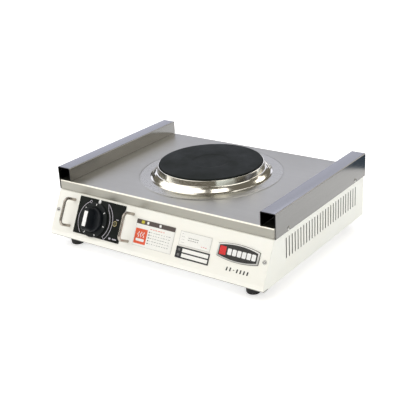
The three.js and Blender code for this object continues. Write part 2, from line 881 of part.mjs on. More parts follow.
// ---- cable inlet, terminals and leads ----
function grommet() {
  const lip = 3;
  return turned(
    [
      [inletRadius - 2.5, -lip - sheet - gap],
      [inletRadius + 2.5, -lip - sheet - gap],
      [inletRadius + 2.5, -sheet - gap],
      [inletRadius, -sheet - gap],
      [inletRadius, gap],
      [inletRadius + 2.5, gap],
      [inletRadius + 1.5, gap + lip],
      [inletRadius - 2.5, gap + lip],
    ],
    20,
  );
}
const inlet = add("cable_grommet", grommet(), rubber);
inlet.rotation.x = -Math.PI / 2;
inlet.position.set(inletX, bodyRear, inletZ);
const earth = add("earth_screw", screw(), zincSteel);
earth.rotation.x = -Math.PI / 2;
earth.position.set(earthX, bodyRear, inletZ);

const mainsSize = [40, 22, 16];
const mainsY = bodyRear - 50;
const mainsFloor = basePlateZ + sheet + gap;
function mainsTerminals() {
  const [long, wide, high] = mainsSize;
  return alongZ(rectangle(-long / 2, long / 2, -wide / 2, wide / 2), mainsFloor, mainsFloor + high);
}
add("mains_terminal_block", mainsTerminals(), phenolic).position.set(inletX, mainsY, 0);

function lead(points, steps) {
  const path = new THREE.CatmullRomCurve3(points.map((point) => new THREE.Vector3(...point)), false, "centripetal");
  const section = new THREE.Shape();
  section.absarc(0, 0, leadRadius, 0, 2 * Math.PI);
  return new THREE.ExtrudeGeometry(section, { steps, extrudePath: path, curveSegments: 3 });
}

const leadFloor = mainsFloor + leadRadius + 5; // the leads are tied up clear of the base plate
const blockFloor = topZ + blockTop - blockSize[2];
const leadClear = gap + leadRadius;
const regulatorRear = fromPanel(new THREE.BufferGeometry().setFromPoints([
  new THREE.Vector3(knobX, -knobDown, regulatorTop - regulatorSize[2] - leadClear),
])).attributes.position;
const regulatorEnd = [regulatorRear.getX(0), regulatorRear.getY(0), regulatorRear.getZ(0)];
const mainsFace = mainsY - mainsSize[1] / 2 - leadClear;

add(
  "lead_mains_to_regulator",
  lead(
    [
      [inletX - 10, mainsFace, leadFloor + 2],
      [inletX - 12, mainsFace - 20, leadFloor],
      [inletX - 60, mainsFace - 60, leadFloor],
      [-halfWidth / 3, plateY + 10, leadFloor],
      [regulatorEnd[0] + 8, regulatorEnd[1] + 30, leadFloor],
      [regulatorEnd[0] + 8, regulatorEnd[1] + 8, regulatorEnd[2] - 8],
    ],
    22,
  ),
  leadSleeve,
);
add(
  "lead_mains_to_plate",
  lead(
    [
      [inletX + 10, mainsFace, leadFloor + 2],
      [inletX + 8, mainsFace - 24, leadFloor],
      [60, plateY - 20, leadFloor],
      [20, plateY - blockOffset, leadFloor + 8],
      [4, plateY - blockOffset, blockFloor - 18],
      [4, plateY - blockOffset, blockFloor - leadClear],
    ],
    24,
  ),
  leadSleeve,
);
add(
  "lead_regulator_to_plate",
  lead(
    [
      [regulatorEnd[0] - 8, regulatorEnd[1] + 8, regulatorEnd[2] - 8],
      [regulatorEnd[0] - 6, regulatorEnd[1] + 24, leadFloor + 8],
      [-70, plateY - blockOffset - 20, leadFloor + 8],
      [-24, plateY - blockOffset, leadFloor + 10],
      [-4, plateY - blockOffset, blockFloor - 18],
      [-4, plateY - blockOffset, blockFloor - leadClear],
    ],
    20,
  ),
  leadSleeve,
);

// The origin is the middle of the footprint, on the table.
const footprint = new THREE.Box3().setFromObject(unit, true);
const middle = footprint.getCenter(new THREE.Vector3());
unit.position.set(-middle.x, -middle.y, 0);
const hotPlateBurner = new THREE.Group();
hotPlateBurner.add(unit);

export default hotPlateBurner;
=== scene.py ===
import bpy
import bmesh
import json
import math
from mathutils import Matrix, Vector


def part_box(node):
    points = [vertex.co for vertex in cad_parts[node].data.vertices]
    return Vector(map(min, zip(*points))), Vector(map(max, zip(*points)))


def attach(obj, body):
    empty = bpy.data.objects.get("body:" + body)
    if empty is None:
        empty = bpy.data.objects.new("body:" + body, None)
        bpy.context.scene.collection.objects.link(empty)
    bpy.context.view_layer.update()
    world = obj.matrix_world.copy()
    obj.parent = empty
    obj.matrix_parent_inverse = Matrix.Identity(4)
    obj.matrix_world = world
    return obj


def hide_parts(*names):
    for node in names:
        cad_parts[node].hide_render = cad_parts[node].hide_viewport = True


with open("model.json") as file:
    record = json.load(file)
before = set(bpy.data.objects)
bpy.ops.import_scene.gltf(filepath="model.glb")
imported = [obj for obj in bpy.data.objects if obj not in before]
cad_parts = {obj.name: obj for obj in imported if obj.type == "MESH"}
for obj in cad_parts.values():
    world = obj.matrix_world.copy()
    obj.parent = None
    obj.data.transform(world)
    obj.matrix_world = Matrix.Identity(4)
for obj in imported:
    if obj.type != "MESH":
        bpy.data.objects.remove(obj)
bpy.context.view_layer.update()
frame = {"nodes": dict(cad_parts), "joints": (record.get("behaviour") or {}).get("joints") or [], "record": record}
nodes = frame["nodes"]
mm = 0.001
print("frame loaded:", len(nodes), "nodes")

# places that the pieces below share, all taken from the frame
topLow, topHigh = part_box("top_plate")
railLow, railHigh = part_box("right_rail")
frontLow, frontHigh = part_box("front_panel")
plateLow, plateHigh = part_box("hotplate")
knobTurn = frame["joints"][0]
knobPoint = Vector(knobTurn["pos_m"])  # on the panel's face
panelOut = Vector(knobTurn["axis"]).normalized()
panelUp = panelOut.cross(Vector((1, 0, 0))).normalized()
panelTurn = Matrix((Vector((1, 0, 0)), panelUp, panelOut)).transposed().to_4x4()
panelPlace = Matrix.Translation(knobPoint) @ panelTurn  # x along the panel, y up it, z out of it
plateAxis = (plateLow + plateHigh) / 2
onPlateAxis = Matrix.Translation((plateAxis.x, plateAxis.y, 0))
topFace = topLow.z + 17 * mm  # the flat of the top plate, over its lip
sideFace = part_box("right_side_panel")[1].x
sheet = 1.2 * mm
gap = 0.3 * mm
panelTop = 37.8 * mm  # the panel's top edge, up it from the knob's axis


def onPanel(x, up, out):
    return knobPoint + Vector((x, 0, 0)) + panelUp * up + panelOut * out


# making meshes

def addObject(name, data):
    obj = bpy.data.objects.new(name, data)
    bpy.context.scene.collection.objects.link(obj)
    return obj


def newPiece(name, points, faces, material, place=None, sharp=35):
    mesh = bpy.data.meshes.new(name)
    mesh.from_pydata([tuple(p) for p in points], [], faces)
    if place is not None:
        mesh.transform(place)
    mesh.materials.append(material)
    obj = addObject(name, mesh)
    tidyMesh(obj, sharp)
    return obj


def tidyMesh(obj, sharp=35):
    # doubles merged, faces out, and the edges over the sharp angle marked
    work = bmesh.new()
    work.from_mesh(obj.data)
    bmesh.ops.remove_doubles(work, verts=work.verts, dist=0.002 * mm)
    bmesh.ops.recalc_face_normals(work, faces=work.faces)
    for face in work.faces:
        face.smooth = True
    for edge in work.edges:
        edge.smooth = len(edge.link_faces) == 2 and edge.calc_face_angle(0) < math.radians(sharp)
    work.to_mesh(obj.data)
    work.free()


def settle(obj, sharp=35):
    # the modifiers' result becomes the plain mesh
    graph = bpy.context.evaluated_depsgraph_get()
    made = bpy.data.meshes.new_from_object(obj.evaluated_get(graph), depsgraph=graph)
    obj.modifiers.clear()
    obj.data = made
    tidyMesh(obj, sharp)
    return obj


def shapeWith(obj, tools, operation="DIFFERENCE", sharp=35):
    # cut by other solids or joined with them, which are then removed
    for tool in tools:
        change = obj.modifiers.new(tool.name, "BOOLEAN")
        change.operation = operation
        change.object = tool
    settle(obj, sharp)
    for tool in tools:
        bpy.data.objects.remove(tool)


def joinPieces(name, pieces):
    # several solids of one finish as one piece
    whole = bmesh.new()
    materials = []
    for piece in pieces:
        for material in piece.data.materials:
            if material not in materials:
                materials.append(material)
    for piece in pieces:
        start = len(whole.faces)
        whole.from_mesh(piece.data)
        whole.faces.ensure_lookup_table()
        slots = [materials.index(m) for m in piece.data.materials]
        for face in whole.faces[start:]:
            face.material_index = slots[min(face.material_index, len(slots) - 1)]
    mesh = bpy.data.meshes.new(name)
    whole.to_mesh(mesh)
    whole.free()
    for material in materials:
        mesh.materials.append(material)
    for piece in pieces:
        bpy.data.objects.remove(piece)
    return addObject(name, mesh)


def rounded(line, radius, steps=5, closed=False):
    # a line of (a, b) points with an arc at each corner; a point may carry its own radius as a third value
    count = len(line)
    made = []
    for i, point in enumerate(line):
        if not closed and i in (0, count - 1):
            made.append(tuple(point[:2]))
            continue
        here = Vector(point[:2])
        before = Vector(line[i - 1][:2]) - here
        after = Vector(line[(i + 1) % count][:2]) - here
        bend = math.pi - before.angle(after)
        size = point[2] if len(point) > 2 else radius
        if bend < 0.01 or size <= 0:
            made.append(tuple(here))
            continue
        reach = min(size * math.tan(bend / 2), before.length * 0.48, after.length * 0.48)
        size = reach / math.tan(bend / 2)
        bisector = (before.normalized() + after.normalized()).normalized()
        middle = here + bisector * (size / math.cos(bend / 2))
        first = here + before.normalized() * reach - middle
        last = here + after.normalized() * reach - middle
        turn = math.atan2(first.x * last.y - first.y * last.x, first.dot(last))
        for step in range(steps + 1):
            made.append(tuple(middle + Matrix.Rotation(turn * step / steps, 2) @ first))
    return made


def offsetLine(line, distance):
    # the same line moved to its left
    moved = []
    for i, point in enumerate(line):
        here = Vector(point)
        runs = []
        if i > 0:
            runs.append((here - Vector(line[i - 1])).normalized())
        if i < len(line) - 1:
            runs.append((Vector(line[i + 1]) - here).normalized())
        sides = [Vector((-run.y, run.x)) for run in runs]
        total = sides[0] + sides[-1]
        moved.append(tuple(here + total * (distance / (1 + sides[0].dot(sides[-1])))))
    return moved


def bentSheet(name, line, thickness, ends, along, material):
    # a bent sheet: line is the outer face, seen from the end, and along is "X" (y, z) or "Y" (x, z)
    section = line + offsetLine(line, thickness)[::-1]
    count = len(section)
    half = len(line)
    points = []
    for end in ends:
        for a, b in section:
            points.append((end, a, b) if along == "X" else (a, end, b))
    faces = [[i, (i + 1) % count, count + (i + 1) % count, count + i] for i in range(count)]
    for side in (0, count):
        for i in range(half - 1):
            faces.append([side + i, side + i + 1, side + count - 2 - i, side + count - 1 - i])
    return newPiece(name, points, faces, material)


def latheFaces(rows, segments, wrap):
    faces = []
    for row in range(rows if wrap else rows - 1):
        above = (row + 1) % rows
        for i in range(segments):
            j = (i + 1) % segments
            faces.append([row * segments + i, row * segments + j, above * segments + j, above * segments + i])
    return faces


def turnedPiece(name, profile, segments, material, place=None, sharp=35):
    # profile is (radius, height); it starts and ends on the axis, or closes on itself
    onAxis = profile[0][0] < 1e-7
    rows = [p for p in profile if p[0] > 1e-7]
    points = []
    for radius, height in rows:
        for i in range(segments):
            angle = 2 * math.pi * i / segments
            points.append((radius * math.cos(angle), radius * math.sin(angle), height))
    faces = latheFaces(len(rows), segments, not onAxis)
    if onAxis:
        for row, height in ((0, profile[0][1]), (len(rows) - 1, profile[-1][1])):
            pole = len(points)
            points.append((0, 0, height))
            for i in range(segments):
                faces.append([row * segments + i, row * segments + (i + 1) % segments, pole])
    return newPiece(name, points, faces, material, place, sharp)


def slab(name, outline, low, high, material, place=None, bevel=0, sharp=35):
    # a flat piece of any outline, with its upper edge eased by the bevel
    count = len(outline)
    rims = [(outline, low), (outline, high - bevel)]
    if bevel > 0:
        rims.append((offsetLoop(outline, bevel * 0.3), high - bevel * 0.3))
        rims.append((offsetLoop(outline, bevel), high))
    points = [(a, b, level) for rim, level in rims for a, b in rim]
    faces = [list(range(count)), [len(points) - count + i for i in range(count)]]
    for row in range(len(rims) - 1):
        for i in range(count):
            j = (i + 1) % count
            faces.append([row * count + i, row * count + j, row * count + count + j, row * count + count + i])
    return newPiece(name, points, faces, material, place, sharp)


def offsetLoop(outline, distance):
    # a closed anticlockwise outline shrunk by the distance
    count = len(outline)
    made = []
    for i, point in enumerate(outline):
        here = Vector(point)
        before = (here - Vector(outline[i - 1])).normalized()
        after = (Vector(outline[(i + 1) % count]) - here).normalized()
        total = Vector((-before.y, before.x)) + Vector((-after.y, after.x))
        lean = max(1 + before.dot(after), 0.4)
        made.append(tuple(here + total * (distance / lean)))
    return made


def boxOutline(width, height, radius, centre=(0, 0), steps=4):
    a, b = width / 2, height / 2
    corners = [(-a, -b), (a, -b), (a, b), (-a, b)]
    return rounded([(x + centre[0], y + centre[1]) for x, y in corners], radius, steps, closed=True)


# node helpers

def startMaterial(name):
    material = bpy.data.materials.new(name)
    material.use_nodes = True
    return material, material.node_tree, material.node_tree.nodes["Principled BSDF"]


def setInputs(tree, node, inputs):
    # an input takes a link from another node's output, or a plain value
    for key, value in inputs.items():
        if isinstance(value, bpy.types.NodeSocket):
            tree.links.new(value, node.inputs[key])
        else:
            node.inputs[key].default_value = value


def addNode(tree, kind, inputs=None, **settings):
    node = tree.nodes.new(kind)
    for key, value in settings.items():
        setattr(node, key, value)
    setInputs(tree, node, inputs or {})
    return node


def objectCoords(tree, scale=(1, 1, 1), centre=(0, 0, 0), turn=(0, 0, 0)):
    coords = addNode(tree, "ShaderNodeTexCoord")
    shift = addNode(tree, "ShaderNodeMapping", {
        "Vector": coords.outputs["Object"],
        "Location": [-c for c in centre],
    })
    return addNode(tree, "ShaderNodeMapping", {
        "Vector": shift.outputs[0],
        "Scale": scale,
        "Rotation": turn,
    }).outputs[0]


def noise(tree, vector, scale, detail=4.0, roughness=0.55):
    return addNode(tree, "ShaderNodeTexNoise", {
        "Vector": vector,
        "Scale": scale,
        "Detail": detail,
        "Roughness": roughness,
    }).outputs["Fac"]


def spread(tree, value, low, high, fromLow=0.3, fromHigh=0.7):
    return addNode(tree, "ShaderNodeMapRange", {
        "Value": value,
        "From Min": fromLow,
        "From Max": fromHigh,
        "To Min": low,
        "To Max": high,
    }).outputs[0]


def ramp(tree, value, stops):
    node = addNode(tree, "ShaderNodeValToRGB", {"Fac": value})
    elements = node.color_ramp.elements
    while len(elements) < len(stops):
        elements.new(0.5)
    for element, (place, colour) in zip(elements, stops):
        element.position = place
        element.color = (*colour, 1)
    return node.outputs["Color"]


def mixColour(tree, share, first, second):
    a, b = (c if isinstance(c, bpy.types.NodeSocket) else (*c, 1) for c in (first, second))
    return addNode(tree, "ShaderNodeMix", {0: share, 6: a, 7: b}, data_type="RGBA").outputs[2]


def calc(tree, operation, first, second=0.0):
    return addNode(tree, "ShaderNodeMath", {0: first, 1: second}, operation=operation).outputs[0]


def blend(tree, share, first, second):
    # one value to another, as share goes from 0 to 1
    if isinstance(second, bpy.types.NodeSocket) or isinstance(first, bpy.types.NodeSocket):
        span = calc(tree, "SUBTRACT", second, first)
    else:
        span = second - first
    return calc(tree, "ADD", calc(tree, "MULTIPLY", share, span), first)


def closeMaterial(material, tree, shader, inputs, height, depth, strength=1.0):
    # the shader's inputs, and a fine relief of the given depth
    relief = addNode(tree, "ShaderNodeBump", {"Height": height, "Strength": strength, "Distance": depth})
    setInputs(tree, shader, {**inputs, "Normal": relief.outputs[0]})
    return material


# finishes

brushLines = {
    "fine": 5200.0,     # streaks per metre across the brushing
    "long": 26.0,       # and along it
    "depth": 0.010 * mm,
}


def brushedSteel(name, colour, along, rough=(0.27, 0.42), smudge=0.06, streak=0.05):
    # sheet brushed in one direction, with long soft bands and a few handling marks
    material, tree, shader = startMaterial(name)
    fine, long = brushLines["fine"], brushLines["long"]
    scale = {"X": (long, fine, fine), "Y": (fine, long, fine)}[along]
    soft = {"X": (1.2, 160, 160), "Y": (160, 1.2, 160)}[along]
    streaks = noise(tree, objectCoords(tree, scale), 1.0, 3.0, 0.6)
    bands = noise(tree, objectCoords(tree, soft), 1.0, 3.0, 0.5)
    marks = noise(tree, objectCoords(tree), 9.0, 5.0, 0.6)
    dark = [c * (1 - streak * 2.2) for c in colour]
    light = [min(c * (1 + streak), 1) for c in colour]
    base = mixColour(tree, spread(tree, streaks, 0, 1), dark, light)
    base = mixColour(tree, spread(tree, bands, 0, 0.35), base, [c * 0.86 for c in colour])
    grain = calc(tree, "ADD", spread(tree, streaks, rough[0], rough[1]), spread(tree, marks, 0, smudge))
    return material, tree, shader, base, grain, streaks


def closeSteel(material, tree, shader, base, grain, height):
    inputs = {"Base Color": base, "Roughness": grain, "Metallic": 1.0}
    return closeMaterial(material, tree, shader, inputs, height, brushLines["depth"])


def topPlateSteel(name, colour):
    # the pressing has worn the brushing down round the burner; along the front fold a lighter colour is painted in
    # as a highlight, standing for the light the bend catches
    material, tree, shader, base, grain, streaks = brushedSteel(name, colour, "X")
    flat = objectCoords(tree, (1, 1, 0), (plateAxis.x, plateAxis.y, 0))
    away = addNode(tree, "ShaderNodeVectorMath", {0: flat}, operation="LENGTH").outputs["Value"]
    share = spread(tree, away, 0, 1, 124 * mm, 126 * mm)
    grain = blend(tree, share, calc(tree, "MULTIPLY", grain, 0.78), grain)
    height = calc(tree, "MULTIPLY", streaks, blend(tree, share, 0.4, 1.0))
    split = addNode(tree, "ShaderNodeSeparateXYZ", {"Vector": objectCoords(tree)})
    front = spread(tree, split.outputs["Y"], 1, 0, topLow.y + 1.7 * mm, topLow.y + 2.3 * mm)
    over = spread(tree, split.outputs["Z"], 0, 1, topFace - 2.3 * mm, topFace - 1.7 * mm)
    fold = calc(tree, "MULTIPLY", front, over)
    # painted highlight: the front fold's colour is lifted towards white
    base = mixColour(tree, fold, base, [min(c * 2.5, 0.95) for c in colour])
    grain = blend(tree, fold, grain, 0.3)
    return closeSteel(material, tree, shader, base, grain, height)


def railFaceSteel(name, colour):
    # brushed along the rail; the sawn ends are dull, and painted nearly black as shade standing for the dark gap
    # at the rail's end
    material, tree, shader, base, grain, height = brushedSteel(name, colour, "Y", (0.07, 0.15), 0.04)
    split = addNode(tree, "ShaderNodeSeparateXYZ", {"Vector": objectCoords(tree)})
    middle = (railLow.y + railHigh.y) / 2
    along = calc(tree, "ABSOLUTE", calc(tree, "SUBTRACT", split.outputs["Y"], middle))
    end = spread(tree, along, 0, 1, railHigh.y - middle - 0.35 * mm, railHigh.y - middle - 0.1 * mm)
    # painted shade: the rail's ends are darkened nearly to black
    base = mixColour(tree, end, base, (0.03, 0.03, 0.032))
    grain = blend(tree, end, grain, 0.6)
    return closeSteel(material, tree, shader, base, grain, height)


def polishedMetal(name, colour, rough=(0.06, 0.14)):
    # drawn and buffed: round buffing swirls and faint wipe marks
    material, tree, shader = startMaterial(name)
    swirl = noise(tree, objectCoords(tree, (1, 1, 6)), 420.0, 3.0)
    wipe = noise(tree, objectCoords(tree), 30.0, 4.0)
    return closeMaterial(material, tree, shader, {
        "Base Color": mixColour(tree, spread(tree, wipe, 0, 1), [c * 0.93 for c in colour], colour),
        "Roughness": spread(tree, swirl, *rough),
        "Metallic": 1.0,
    }, wipe, 0.02 * mm, 0.25)


def ivoryEnamel(name, colour, wallAt=None, edgeAt=None):
    # sprayed and baked paint: orange peel, a little dust, warmer where it lies thick;
    # wallAt is the outer face of a side wall; behind it, on the slots' cut edges and the wall's inner face, the
    # paint is darkened nearly to black as painted shade inside the vent slots;
    # edgeAt is the height of a bottom edge, where a dark band is painted in as shade, standing for the shadow line
    # under the panel
    material, tree, shader = startMaterial(name)
    peel = noise(tree, objectCoords(tree), 620.0, 2.0, 0.4)
    cloud = noise(tree, objectCoords(tree), 11.0, 4.0)
    speck = noise(tree, objectCoords(tree), 2600.0, 1.0)
    warm = (colour[0], colour[1] * 0.985, colour[2] * 0.95)
    body = mixColour(tree, spread(tree, cloud, 0, 1), colour, warm)
    dusty = mixColour(tree, spread(tree, speck, 0, 0.35, 0.68, 0.8), body, [c * 0.8 for c in colour])
    split = addNode(tree, "ShaderNodeSeparateXYZ", {"Vector": objectCoords(tree)})
    if edgeAt is not None:
        # painted shade: a dark line along the panel's bottom edge
        bottomEdgeShade = spread(tree, split.outputs["Z"], 1, 0, edgeAt + 1.3 * mm, edgeAt + 2.6 * mm)
        dusty = mixColour(tree, bottomEdgeShade, dusty, (0.16, 0.16, 0.15))
    if wallAt is not None:
        depth = calc(tree, "ABSOLUTE", split.outputs["X"])
        share = spread(tree, depth, 1, 0, wallAt - 0.45 * mm, wallAt - 0.1 * mm)
        # painted shade: the slots' cut edges and the wall's inner face go nearly black
        slotShade = mixColour(tree, spread(tree, peel, 0, 1), (0.05, 0.05, 0.046), (0.075, 0.075, 0.07))
        dusty = mixColour(tree, share, dusty, slotShade)
    return closeMaterial(material, tree, shader, {
        "Base Color": dusty,
        "Roughness": spread(tree, cloud, 0.34, 0.46),
        "Coat Weight": 0.2,
        "Coat Roughness": 0.2,
        "Specular IOR Level": 0.35,
    }, peel, 0.02 * mm, 0.6)


def heatedIron(name, colour):
    # fine turned grooves round the axis, grey scale and a duller worn track
    material, tree, shader = startMaterial(name)
    axis = (plateAxis.x, plateAxis.y, 0)
    around = objectCoords(tree, (1, 1, 0), axis)
    rings = addNode(tree, "ShaderNodeTexWave", {
        "Vector": around,
        "Scale": 190.0,
        "Distortion": 0.35,
        "Detail": 2.0,
    }, wave_type="RINGS", rings_direction="Z").outputs["Fac"]
    scale = noise(tree, objectCoords(tree), 900.0, 5.0, 0.65)
    cloud = noise(tree, objectCoords(tree), 24.0, 5.0, 0.6)
    grey = ramp(tree, scale, [
        (0.25, [c * 0.62 for c in colour]),
        (0.55, colour),
        (0.8, [c * 1.45 for c in colour]),
    ])
    scorched = (colour[0] * 1.15, colour[1], colour[2] * 0.86)
    height = calc(tree, "ADD", calc(tree, "MULTIPLY", rings, 0.5), scale)
    return closeMaterial(material, tree, shader, {
        "Base Color": mixColour(tree, spread(tree, cloud, 0, 0.4), grey, scorched),
        "Roughness": spread(tree, cloud, 0.55, 0.72),
        "Specular IOR Level": 0.12,
    }, height, 0.06 * mm, 0.7)


def platedZinc(name, colour):
    # bright plating with its spangle
    material, tree, shader = startMaterial(name)
    spangle = addNode(tree, "ShaderNodeTexVoronoi", {
        "Vector": objectCoords(tree),
        "Scale": 320.0,
    }).outputs["Color"]
    value = addNode(tree, "ShaderNodeRGBToBW", {"Color": spangle}).outputs[0]
    return closeMaterial(material, tree, shader, {
        "Base Color": mixColour(tree, value, [c * 0.82 for c in colour], colour),
        "Roughness": spread(tree, value, 0.28, 0.46, 0, 1),
        "Metallic": 1.0,
    }, noise(tree, objectCoords(tree), 1500.0), 0.01 * mm, 0.5)


def mouldedPlastic(name, colour, rough=(0.32, 0.45), grain=1800.0, depth=0.02 * mm, gloss=0.5):
    # spark-eroded grain with slightly shiny high spots
    material, tree, shader = startMaterial(name)
    skin = noise(tree, objectCoords(tree), grain, 3.0)
    cloud = noise(tree, objectCoords(tree), 60.0, 3.0)
    lifted = [min(c * 1.3 + 0.004, 1) for c in colour]
    return closeMaterial(material, tree, shader, {
        "Base Color": mixColour(tree, spread(tree, cloud, 0, 1), colour, lifted),
        "Roughness": spread(tree, skin, *rough),
        "Specular IOR Level": gloss,
    }, skin, depth, 0.5)


def softRubber(name, colour):
    material, tree, shader = startMaterial(name)
    bloom = noise(tree, objectCoords(tree), 130.0, 5.0)
    skin = noise(tree, objectCoords(tree), 2400.0, 2.0)
    return closeMaterial(material, tree, shader, {
        "Base Color": mixColour(tree, spread(tree, bloom, 0, 1), colour, [c * 2.1 for c in colour]),
        "Roughness": spread(tree, bloom, 0.6, 0.82),
    }, skin, 0.04 * mm, 0.6)


def printedInk(name, colour, rough=0.5):
    # screen-printed ink: slightly uneven cover
    material, tree, shader = startMaterial(name)
    cover = noise(tree, objectCoords(tree), 1500.0, 2.0)
    return closeMaterial(material, tree, shader, {
        "Base Color": mixColour(tree, spread(tree, cover, 0, 1), [c * 0.86 for c in colour], colour),
        "Roughness": spread(tree, cover, rough - 0.06, rough + 0.08),
    }, cover, 0.008 * mm, 0.5)


def firedCeramic(name, colour):
    material, tree, shader = startMaterial(name)
    speck = noise(tree, objectCoords(tree), 1300.0, 4.0)
    pores = noise(tree, objectCoords(tree), 420.0, 5.0)
    return closeMaterial(material, tree, shader, {
        "Base Color": ramp(tree, speck, [(0.3, [c * 0.74 for c in colour]), (0.62, colour)]),
        "Roughness": spread(tree, pores, 0.7, 0.92),
    }, pores, 0.08 * mm, 0.7)


def wovenSleeve(name, colour):
    # braided glass sleeve over the lead
    material, tree, shader = startMaterial(name)
    waves = []
    for turn in ((0.6, 0.5, 0.8), (-0.6, 0.4, -0.8)):
        turned = objectCoords(tree, turn=turn)
        waves.append(addNode(tree, "ShaderNodeTexWave", {"Vector": turned, "Scale": 380.0}).outputs["Fac"])
    weave = calc(tree, "MAXIMUM", *waves)
    return closeMaterial(material, tree, shader, {
        "Base Color": mixColour(tree, weave, [c * 0.66 for c in colour], colour),
        "Roughness": spread(tree, weave, 0.7, 0.9, 0, 1),
    }, weave, 0.1 * mm, 0.7)


def lampAmber(name, colour):
    # clear amber lens with a faint moulding flow
    material, tree, shader = startMaterial(name)
    flow = noise(tree, objectCoords(tree), 260.0, 3.0)
    return closeMaterial(material, tree, shader, {
        "Base Color": mixColour(tree, spread(tree, flow, 0, 1), colour, [c * 0.7 for c in colour]),
        "Transmission Weight": 0.35,
        "Roughness": 0.2,
        "IOR": 1.5,
    }, flow, 0.03 * mm, 0.4)


topSteel = topPlateSteel("top steel", (0.365, 0.357, 0.318))
railSteel = railFaceSteel("rail steel", (0.248, 0.248, 0.246))
polishedSteel = polishedMetal("polished ring steel", (0.88, 0.855, 0.765), (0.10, 0.17))
guardSteel = polishedMetal("guard steel", (0.44, 0.40, 0.355), (0.2, 0.3))
silverTrim = polishedMetal("badge rim", (0.70, 0.70, 0.69), (0.3, 0.4))
screwSteel = polishedMetal("screw steel", (0.50, 0.50, 0.49), (0.14, 0.22))
brassTrim = polishedMetal("lamp ring brass", (0.46, 0.40, 0.22), (0.2, 0.3))
ivoryPaint = ivoryEnamel("ivory enamel", (0.93, 0.93, 0.89))
frontPaint = ivoryEnamel("front enamel", (0.93, 0.93, 0.89), edgeAt=frontLow.z)
# the side walls' enamel is a darker, greener copy of the ivory: painted shade for the sides turned from the light
shadedSidePaint = ivoryEnamel("side wall shaded enamel", (0.875, 0.895, 0.87), sideFace)
castIron = heatedIron("heated cast iron", (0.0095, 0.013, 0.0115))
zincSteel = platedZinc("zinc plate", (0.62, 0.63, 0.64))
knobPlastic = mouldedPlastic("knob black", (0.0045, 0.0065, 0.009), (0.32, 0.44), gloss=0.25)
skirtPlastic = mouldedPlastic("knob skirt black", (0.008, 0.0105, 0.011), (0.42, 0.52), gloss=0.2)
dialPaint = mouldedPlastic("dial plate black", (0.0055, 0.0075, 0.006), (0.45, 0.6), 900.0, gloss=0.12)
whitePlastic = mouldedPlastic("white plastic", (0.86, 0.86, 0.85), (0.3, 0.42))
phenolic = mouldedPlastic("brown phenolic", (0.06, 0.03, 0.018), (0.35, 0.5), 700.0, 0.05 * mm)
labelFilm = printedInk("label film", (0.965, 0.965, 0.93), 0.4)
whiteInk = printedInk("white print", (0.93, 0.93, 0.93))
lilacInk = printedInk("pale print", (0.56, 0.53, 0.60))
greyInk = printedInk("grey print", (0.33, 0.33, 0.32))
outlineInk = printedInk("outline print", (0.48, 0.48, 0.47))
taupeInk = printedInk("taupe print", (0.085, 0.065, 0.058))
blackInk = printedInk("black print", (0.014, 0.015, 0.018), 0.42)
orangeInk = printedInk("orange print", (0.80, 0.105, 0.035))
redInk = printedInk("red enamel", (0.72, 0.016, 0.018), 0.3)
yellowInk = printedInk("yellow print", (0.62, 0.55, 0.05))
darkEnamel = printedInk("dark enamel", (0.016, 0.016, 0.015), 0.3)
blackRubber = softRubber("foot rubber", (0.004, 0.004, 0.004))
ceramic = firedCeramic("steatite", (0.72, 0.66, 0.55))
coilWire = polishedMetal("oxidised wire", (0.16, 0.11, 0.08), (0.4, 0.6))
leadSleeve = wovenSleeve("glass sleeve", (0.66, 0.62, 0.54))
amberLens = lampAmber("amber lens", (0.13, 0.115, 0.05))
print("finishes made")


# geometry node trees

def startTree(name, inputs):
    tree = bpy.data.node_groups.new(name, "GeometryNodeTree")
    tree.interface.new_socket("Geometry", in_out="INPUT", socket_type="NodeSocketGeometry")
    for label, value in inputs.items():
        kind = {int: "NodeSocketInt", float: "NodeSocketFloat"}.get(type(value), "NodeSocketMaterial")
        socket = tree.interface.new_socket(label, in_out="INPUT", socket_type=kind)
        if kind != "NodeSocketMaterial":
            socket.default_value = value
    tree.interface.new_socket("Geometry", in_out="OUTPUT", socket_type="NodeSocketGeometry")
    return tree, addNode(tree, "NodeGroupInput"), addNode(tree, "NodeGroupOutput")


def endTree(tree, geometry, given, output):
    real = addNode(tree, "GeometryNodeRealizeInstances", {"Geometry": geometry})
    painted = addNode(tree, "GeometryNodeSetMaterial", {
        "Geometry": real.outputs[0],
        "Material": given.outputs["Finish"],
    })
    tree.links.new(painted.outputs[0], output.inputs[0])


def runTree(obj, tree, values, sharp=35):
    # inputs are set by the socket's identifier before the object is first evaluated
    modifier = obj.modifiers.new(tree.name, "NODES")
    modifier.node_group = tree
    for item in tree.interface.items_tree:
        if item.in_out == "INPUT" and item.name in values:
            modifier[item.identifier] = values[item.name]
    return settle(obj, sharp)


def combine(tree, x=0.0, y=0.0, z=0.0):
    return addNode(tree, "ShaderNodeCombineXYZ", {"X": x, "Y": y, "Z": z}).outputs[0]


